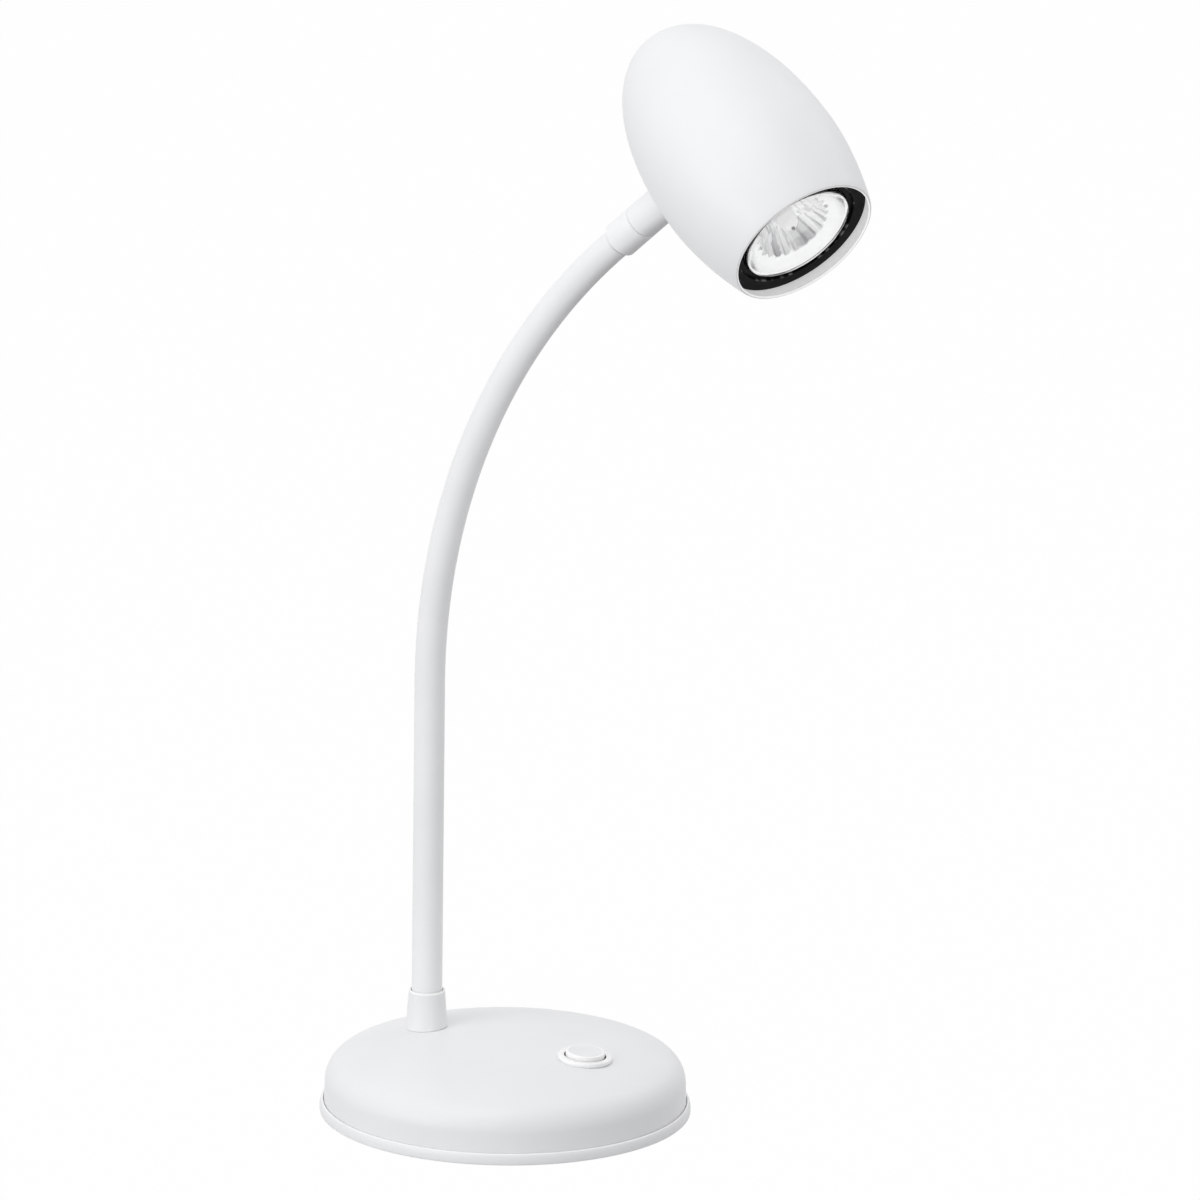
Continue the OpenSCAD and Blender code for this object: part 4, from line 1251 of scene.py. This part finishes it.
@dataclass
class HeadAssembly:
    """Stub, egg-shaped shade and dark ring, with the lampholder's works inside."""

    ferrule_l: float = 16.7
    stub_l: float = 21.95
    stub_d: float = 16.1
    spigot_l: float = 1.95
    spigot_r: float = 6.9
    end_gap: float = 1.2
    nipple_r: float = 5.0
    shade_d: float = 82.0
    mouth_d: float = 67.0
    shade_l: float = 120.6
    belly_back: float = 42.6
    stub_back: float = 59.6
    shade_t: float = 1.2
    front_power: float = 1.83
    rear_power: float = 2.13
    ring_step: float = 2.6
    ring_t: float = 1.4
    ring_skirt: float = 9.0
    bulb_d: float = 50.5

    def front_radius(self, height: float) -> float:
        """Returns the shade's outer radius at a height in its front part."""
        behind = (self.stub_back - height) / self.belly_back
        return self.shade_d / 2 - (self.shade_d - self.mouth_d) / 2 * (1 - behind) ** self.front_power

    def outline(self, inset: float) -> Outline:
        """Traces the shade from its mouth to its tip, set inward by a distance."""
        points: Outline = []
        for i in range(31):
            height = self.stub_back - self.belly_back * i / 30
            points.append((self.front_radius(height) - inset, height))
        power = 2 / self.rear_power
        depth = self.shade_l - self.belly_back - inset
        for i in range(1, 57):
            angle = math.tau / 4 * i / 56
            radius = (self.shade_d / 2 - inset) * math.cos(angle) ** power if i < 56 else 0.0
            points.append((radius, self.stub_back - self.belly_back - depth * math.sin(angle) ** power))
        return points

    def build(self, places: Places) -> None:
        """Builds and dresses the head.

        Args:
            places: Where the stub and the shade stand.
        """
        self.build_stub(places)
        self.build_shade(places)
        self.build_ring(places)
        dress_nodes(Finishes.ZINC, "swivel_nipple", "swivel_washer", "saddle_washer", "head_nut")
        dress_nodes(Finishes.ZINC, "holder_bracket", "holder_screws")
        dress_nodes(Finishes.CERAMIC, "lampholder")
        dress_nodes(Finishes.INSULATION, "lamp_leads")

    def build_stub(self, places: Places) -> None:
        """Builds the stub between the ferrule and the shade."""
        radius, low, high = self.stub_d / 2, self.ferrule_l, self.ferrule_l + self.stub_l
        bore = self.nipple_r + 0.1
        shoulder = low + self.spigot_l
        outline = rounded(
            [
                (bore, low), (self.spigot_r, low), (self.spigot_r, shoulder),
                (radius, shoulder, 0.25), (radius, high, 0.12), (bore, high),
            ]
        )

        def relieved(point: Vector) -> Vector:
            """Takes a little off the end below, which leaves a fine dark gap to the shade."""
            if point.z < high - 0.4:
                return point
            return Vector((point.x, point.y, point.z - self.end_gap * max(0.0, point.x / radius) ** 2))

        stub = turned("stub", outline, places.neck_end, sides=128, shaped=relieved)
        fitted(stub, "head", Finishes.JOINT_PAINT, "head_stub")

    def build_shade(self, places: Places) -> None:
        """Builds the spun shade with its rolled lip and the hole under the stub."""
        lip = self.shade_t / 2
        centre_r, centre_z = self.mouth_d / 2 - lip, self.stub_back - lip
        rolled = arc((centre_r, centre_z), (lip, lip), [170 - 17.5 * k for k in range(10)])
        outline = self.outline(self.shade_t)[:0:-1] + rolled + self.outline(0.0)[1:]
        shade = turned("shade_shell", outline, places.head, sides=192)
        bored(shade, rod(self.nipple_r + 0.2, 25, 60, places.stub))
        fitted(shade, "head", Finishes.WHITE_PAINT, "shade")
        self.build_lining(places)

    def build_lining(self, places: Places, thickness: float = 0.12, end: float = 6.4) -> None:
        """Builds a glowing lining inside the shade's lip, down to the dark ring: painted light on the shaded
        inner wall.

        Args:
            places: Where the shade stands.
            thickness: The lining's thickness.
            end: How far down it goes from the mouth.
        """
        lip = self.shade_t / 2
        centre_r, centre_z = self.mouth_d / 2 - lip, self.stub_back - lip
        over, under = (
            arc((centre_r, centre_z), (r, r), range(180, 109, -14))
            for r in (lip + thickness, lip - thickness)
        )
        heights = [self.stub_back - end + (end - 1.2) * i / 6 for i in range(7)]
        wall = [(self.front_radius(z) - self.shade_t, z) for z in heights]
        outline = [(r - thickness, z) for r, z in wall] + over + under[::-1]
        outline += [(r + 0.05, z) for r, z in wall[::-1]]
        # Its glow is painted light.
        fitted(turned("glowing_lip_lining", outline, places.head, sides=144), "head", Finishes.PAINTED_LIP_GLOW)

    def build_ring(self, places: Places) -> None:
        """Builds the dark ring round the bulb, with its step and its skirt against the shade."""
        inner_r, top = self.bulb_d / 2 + 0.3, self.stub_back - 5.8
        levels = [top - self.ring_skirt * i / 8 for i in range(9)]
        skirt = [(self.front_radius(z) - self.shade_t - 0.15, z) for z in levels]
        outline = rounded(
            [
                (inner_r, top - 1.2, 0.3),
                (inner_r + self.ring_step - 0.3, top - 1.2),
                (inner_r + self.ring_step, top, 0.25),
                (inner_r + self.ring_step + 0.5, top),
                (*skirt[0], 0.35),
                *skirt[1:],
                *[(r - self.ring_t, z) for r, z in skirt[:0:-1]],
                (inner_r + self.ring_step + self.ring_t, top - self.ring_t),
                (inner_r + self.ring_step + self.ring_t, top - 1.2 - self.ring_t),
                (inner_r, top - 1.2 - self.ring_t),
            ]
        )
        ring = turned("dark_ring", outline, places.head, sides=288)

        def scuff(point: Vector) -> float:
            """Returns where the step's edge gets a painted highlight, broken up round the ring."""
            turn = math.atan2(point.y, point.x)
            broken = math.sin(5 * turn + 0.7) + math.sin(11 * turn + 2.0) + 0.8 * math.sin(37 * turn)
            on_step = abs(point.xy.length - inner_r - self.ring_step) < 0.4 and abs(point.z - top) < 0.5
            return min(1.0, max(0.0, broken - 0.6)) if on_step else 0.0

        # The step's mark lays a painted highlight in the ring's edge colour.
        mark(ring, places.head, scuff)
        fitted(ring, "head", Finishes.BLACK_MOULDING, "bulb_ring")


@dataclass
class BulbAssembly:
    """Twist-lock reflector bulb: front glass, fluted reflector, burner, base and pins."""

    bulb_d: float = 50.5
    stub_back: float = 59.6
    depth: float = 4.9
    glass_t: float = 2.0
    reflector_l: float = 29.0
    flutes: int = 22
    flute_depth: float = 1.7
    border_r: float = 17.6
    border_drop: float = 2.8
    bowl_floor_r: float = 5.0
    bowl_depth: float = 14.0
    wall: float = 1.4
    throat_r: float = 10.5
    burner_l: float = 28.2
    burner_r: float = 4.2
    flare: float = 0.62
    flat_share: float = 0.69
    ridge_at: float = 0.62

    @property
    def front(self) -> float:
        """Returns the height of the front glass along the shade's axis."""
        return self.stub_back - self.depth

    @property
    def back(self) -> float:
        """Returns the height of the reflector's back."""
        return self.front - self.glass_t - self.reflector_l

    def reflector_r(self, height: float) -> float:
        """Returns the reflector's outer radius at a height above its back."""
        return self.throat_r + (self.bulb_d / 2 - self.throat_r) * (height / self.reflector_l) ** self.flare

    def build(self, places: Places) -> None:
        """Builds and dresses the bulb.

        Args:
            places: Where the shade stands.
        """
        self.build_glass(places)
        self.build_reflector(places)
        self.build_burner(places)
        dress_nodes(Finishes.CERAMIC, "bulb_base")
        dress_nodes(Finishes.ZINC, "bulb_pins")

    def build_glass(self, places: Places) -> None:
        """Builds the front glass: a flat middle and a bright sloping border."""
        radius, low = self.bulb_d / 2, self.front - self.glass_t + 0.05
        flat_r = radius * self.flat_share
        outline = rounded(
            [
                (0, low),
                (radius, low, 0.2),
                (radius, self.front - 0.2, 0.7),
                (radius - 1.4, self.front, 0.8),
                (flat_r, self.front, 1.5),
                (flat_r - 4, self.front - 0.2, 1.5),
                (0, self.front - 0.2),
            ]
        )
        glass = turned("front_glass", outline, places.head, sides=144)
        fitted(glass, "bulb", Finishes.CLEAR_GLASS, "bulb_lens")

    def build_reflector(self, places: Places) -> None:
        """Builds the reflector: a smooth bright border, then a bowl with flutes down to its throat."""
        steps, per_flute = 36, 16
        heights = [self.reflector_l * (i / steps) ** 1.4 for i in range(steps + 1)]
        outside = [(self.reflector_r(h), self.back + h) for h in heights]
        rim_r, top = self.bulb_d / 2 - self.wall, self.back + self.reflector_l
        border: Outline = []
        for k in range(1, 11):
            drop = self.border_drop * math.sin(math.tau / 4 * k / 10)
            border.append((rim_r - (rim_r - self.border_r) * k / 10, top - drop))
        opening, bowl_r = top - self.border_drop, self.border_r - 0.3
        bowl = [
            (r, opening - 0.3 - self.bowl_depth * (1 - (r / bowl_r) ** 2))
            for r in (bowl_r - (bowl_r - self.bowl_floor_r) * k / 25 for k in range(26))
        ]
        outline = [(self.bowl_floor_r, self.back), *outside, (rim_r, top), *border, *bowl]
        bowl_points = {(round(r, 4), round(z, 4)) for r, z in bowl}

        def phase(point: Vector) -> float:
            """Returns how far round a point lies, counted in flutes."""
            return math.atan2(point.y, point.x) / math.tau * self.flutes

        def fluted(point: Vector) -> Vector:
            """Presses the flutes into the bowl."""
            if (round(point.xy.length, 4), round(point.z, 4)) not in bowl_points:
                return point
            turn = phase(point) % 1
            ridge = turn / self.ridge_at if turn < self.ridge_at else (1 - turn) / (1 - self.ridge_at)
            radius = point.xy.length * (1 - self.flute_depth * (1 - ridge) / self.border_r)
            return Vector((*(point.xy.normalized() * radius), point.z))

        reflector = turned("reflector", outline, places.head, sides=self.flutes * per_flute, shaped=fluted)

        def painted_flute_reflection(point: Vector) -> float:
            """Returns how dark the painted reflection on a flute is: two groups of wedges that widen to the
            bowl's edge.
            """
            sunk = (opening - point.z) / self.bowl_depth
            if point.xy.length > self.border_r - 0.1 or not 0.01 < sunk < 0.98:
                return 0.0
            angle = math.degrees(math.atan2(point.y, point.x))
            near = 1 - sunk
            start = 1 - 0.6 * near**0.7
            part = phase(point) % 1
            group = 0.95 * hump(angle, 5, 40) + 0.85 * hump(angle, 120, 42)
            group *= 0.72 + 0.28 * math.sin(2.4 * math.floor(phase(point)) + 1.1)
            wedge = (0.3 + 0.7 * near) * group if part > start else 0.12 * group
            line = 0.3 * group if abs(part - start) < 0.06 else 0.0
            plain = hump(angle, 62, 27) * (0.75 if sunk < 0.25 else 0.5)
            return min(1.0, wedge + line + plain)

        # The mark lays painted reflections, dark wedges, on the flutes.
        mark(reflector, places.head, painted_flute_reflection, "fin")
        fitted(reflector, "bulb", Finishes.SILVER, "bulb_reflector")

    def build_burner(self, places: Places) -> None:
        """Builds the capsule in the reflector, with its drawn-off tip; its frosted glass glows as painted
        light.
        """
        low, radius = self.back - 2, self.burner_r
        top = low + self.burner_l
        dome = arc((0.0, top - radius), (radius, radius), range(0, 90, 9))
        outline = [(0.0, low), (radius, low), *dome, (0.0, top)]
        burner = turned("burner", outline, places.head, sides=64)
        fitted(burner, "bulb", Finishes.FROSTED_GLASS, "bulb_burner")
        tip = rounded([(0.0, top - 0.4), (0.9, top - 0.4, 0.2), (0.55, top + 0.9, 0.2), (0.0, top + 1.2)], 4)
        fitted(turned("burner_tip", tip, places.head, sides=32), "bulb", Finishes.TUNGSTEN)


# ---- Studio and camera ----


@dataclass(frozen=True)
class SoftLight:
    """A square soft light that looks at the lamp."""

    name: str
    azimuth: float
    elevation: float
    level: float
    distance: float = 2.6
    size: float = 1.8

    def place(self, target: Vector) -> None:
        """Sets the light up. Its level is the share of full white that it gives a surface facing it.

        Args:
            target: What it looks at.
        """
        light = bpy.data.lights.new(self.name, "AREA")
        light.shape = "SQUARE"
        light.size = self.size
        light.energy = self.level * math.pi**2 * self.distance**2
        holder = bpy.data.objects.new(self.name, light)
        back = looking_back(self.azimuth, self.elevation)
        holder.location = target + back * self.distance
        holder.rotation_mode = "QUATERNION"
        holder.rotation_quaternion = (-back).to_track_quat("-Z", "Y")
        bpy.context.scene.collection.objects.link(holder)


def looking_back(azimuth: float, elevation: float) -> Vector:
    """Returns the unit vector from the lamp towards a viewer at those angles, in degrees."""
    a, e = math.radians(azimuth), math.radians(elevation)
    return Vector((math.sin(a) * math.cos(e), -math.cos(a) * math.cos(e), math.sin(e)))


@dataclass
class Studio:
    """Pale floor, white surroundings and soft lights."""

    floor_r: float = 9.0
    ambient: float = 0.58
    floor_glow: float = 0.985
    floor_tone: float = 0.6
    lights: tuple[SoftLight, ...] = (
        SoftLight("high", 0.0, 60.0, 0.20),
        SoftLight("front", -20.0, 15.0, 0.28),
        SoftLight("top", 20.0, 85.0, 0.09),
        SoftLight("back", 160.0, 40.0, 0.12),
    )

    def build(self, target: Vector) -> None:
        """Builds the floor, the world and the lights.

        Args:
            target: What the lights look at.
        """
        self.build_floor()
        self.build_world()
        for light in self.lights:
            light.place(target)
        bpy.context.scene.view_settings.view_transform = "Standard"

    def seen_directly(self, tree: bpy.types.NodeTree) -> Socket:
        """Returns a pattern that is 1 for rays from the camera, a mirror or glass."""
        path = tree.nodes.new("ShaderNodeLightPath")
        total = path.outputs["Is Camera Ray"]
        for name in ("Is Glossy Ray", "Is Transmission Ray"):
            total = combined(tree, "MAXIMUM", total, path.outputs[name])
        return total

    def build_world(self) -> None:
        """Makes the surroundings white where they are seen and plain elsewhere."""
        world = bpy.data.worlds.new("white room")
        bpy.context.scene.world = world
        world.use_nodes = True
        tree = world.node_tree
        ground = tree.nodes["Background"]
        ground.inputs["Color"].default_value = (1, 1, 1, 1)
        level = tree.nodes.new("ShaderNodeMapRange")
        tree.links.new(self.seen_directly(tree), level.inputs["Value"])
        level.inputs["To Min"].default_value = self.ambient
        level.inputs["To Max"].default_value = 1.0
        tree.links.new(level.outputs[0], ground.inputs["Strength"])

    def build_floor(self) -> None:
        """Builds the pale floor, which glows to white where it is seen and keeps the lamp's shadow."""
        outline: Outline = [(0, -20), (self.floor_r / MM, -20), (self.floor_r / MM, 0), (0, 0)]
        floor = turned("floor", outline, HERE, sides=96)
        material = bpy.data.materials.new("pale floor")
        material.use_nodes = True
        tree = material.node_tree
        tree.nodes.clear()
        output = tree.nodes.new("ShaderNodeOutputMaterial")
        plain = tree.nodes.new("ShaderNodeBsdfDiffuse")
        plain.inputs["Color"].default_value = (*[self.floor_tone] * 3, 1)
        glow = tree.nodes.new("ShaderNodeEmission")
        glow.inputs["Strength"].default_value = 1.0
        both = tree.nodes.new("ShaderNodeMixShader")
        share = tree.nodes.new("ShaderNodeMapRange")
        tree.links.new(self.seen_directly(tree), share.inputs["Value"])
        share.inputs["To Min"].default_value = 0.0
        share.inputs["To Max"].default_value = self.floor_glow
        tree.links.new(share.outputs[0], both.inputs["Fac"])
        tree.links.new(plain.outputs[0], both.inputs[1])
        tree.links.new(glow.outputs[0], both.inputs[2])
        tree.links.new(both.outputs[0], output.inputs["Surface"])
        floor.data.materials.append(material)


@dataclass
class Camera:
    """A long lens at the photograph's angle. Its offsets place the picture's middle from the base."""

    azimuth: float = 32.4
    elevation: float = 17.0
    roll: float = 0.59
    lens: float = 1600.0
    sensor: float = 36.0
    picture_width: float = 508.9
    right_of_base: float = 40.45
    above_base: float = 217.5
    in_front: float = 90.0
    farthest: float = 60.0

    def build(self) -> Vector:
        """Builds the camera.

        Returns:
            The point that it looks at.
        """
        back = looking_back(self.azimuth, self.elevation)
        right = Vector((0, 0, 1)).cross(back).normalized()
        turn = math.radians(self.roll)
        tilted_right = right * math.cos(turn) + back.cross(right) * math.sin(turn)
        tilted_up = back.cross(tilted_right)
        target = (tilted_right * self.right_of_base + tilted_up * self.above_base + back * self.in_front) * MM
        distance = self.picture_width * MM * self.lens / self.sensor
        data = bpy.data.cameras.new("camera")
        data.lens, data.sensor_width = self.lens, self.sensor
        data.clip_end = self.farthest
        location = target + back * distance
        rows = [[tilted_right[i], tilted_up[i], back[i], location[i]] for i in range(3)]
        camera = bpy.data.objects.new("camera", data)
        camera.matrix_world = Matrix([*rows, [0, 0, 0, 1]])
        bpy.context.scene.collection.objects.link(camera)
        bpy.context.scene.camera = camera
        return target


def main() -> None:
    """Builds the camera, the lamp's sub-assemblies and the studio."""
    logging.basicConfig(level=logging.INFO, format="%(name)s: %(message)s")
    target = Camera().build()
    places = Places.from_frame()
    base = BaseAssembly()
    base.build(places)
    SwitchAssembly().build(places)
    NeckAssembly().build(places, base)
    HeadAssembly().build(places)
    BulbAssembly().build(places)
    Studio().build(target)


if __name__ == "__main__":
    main()
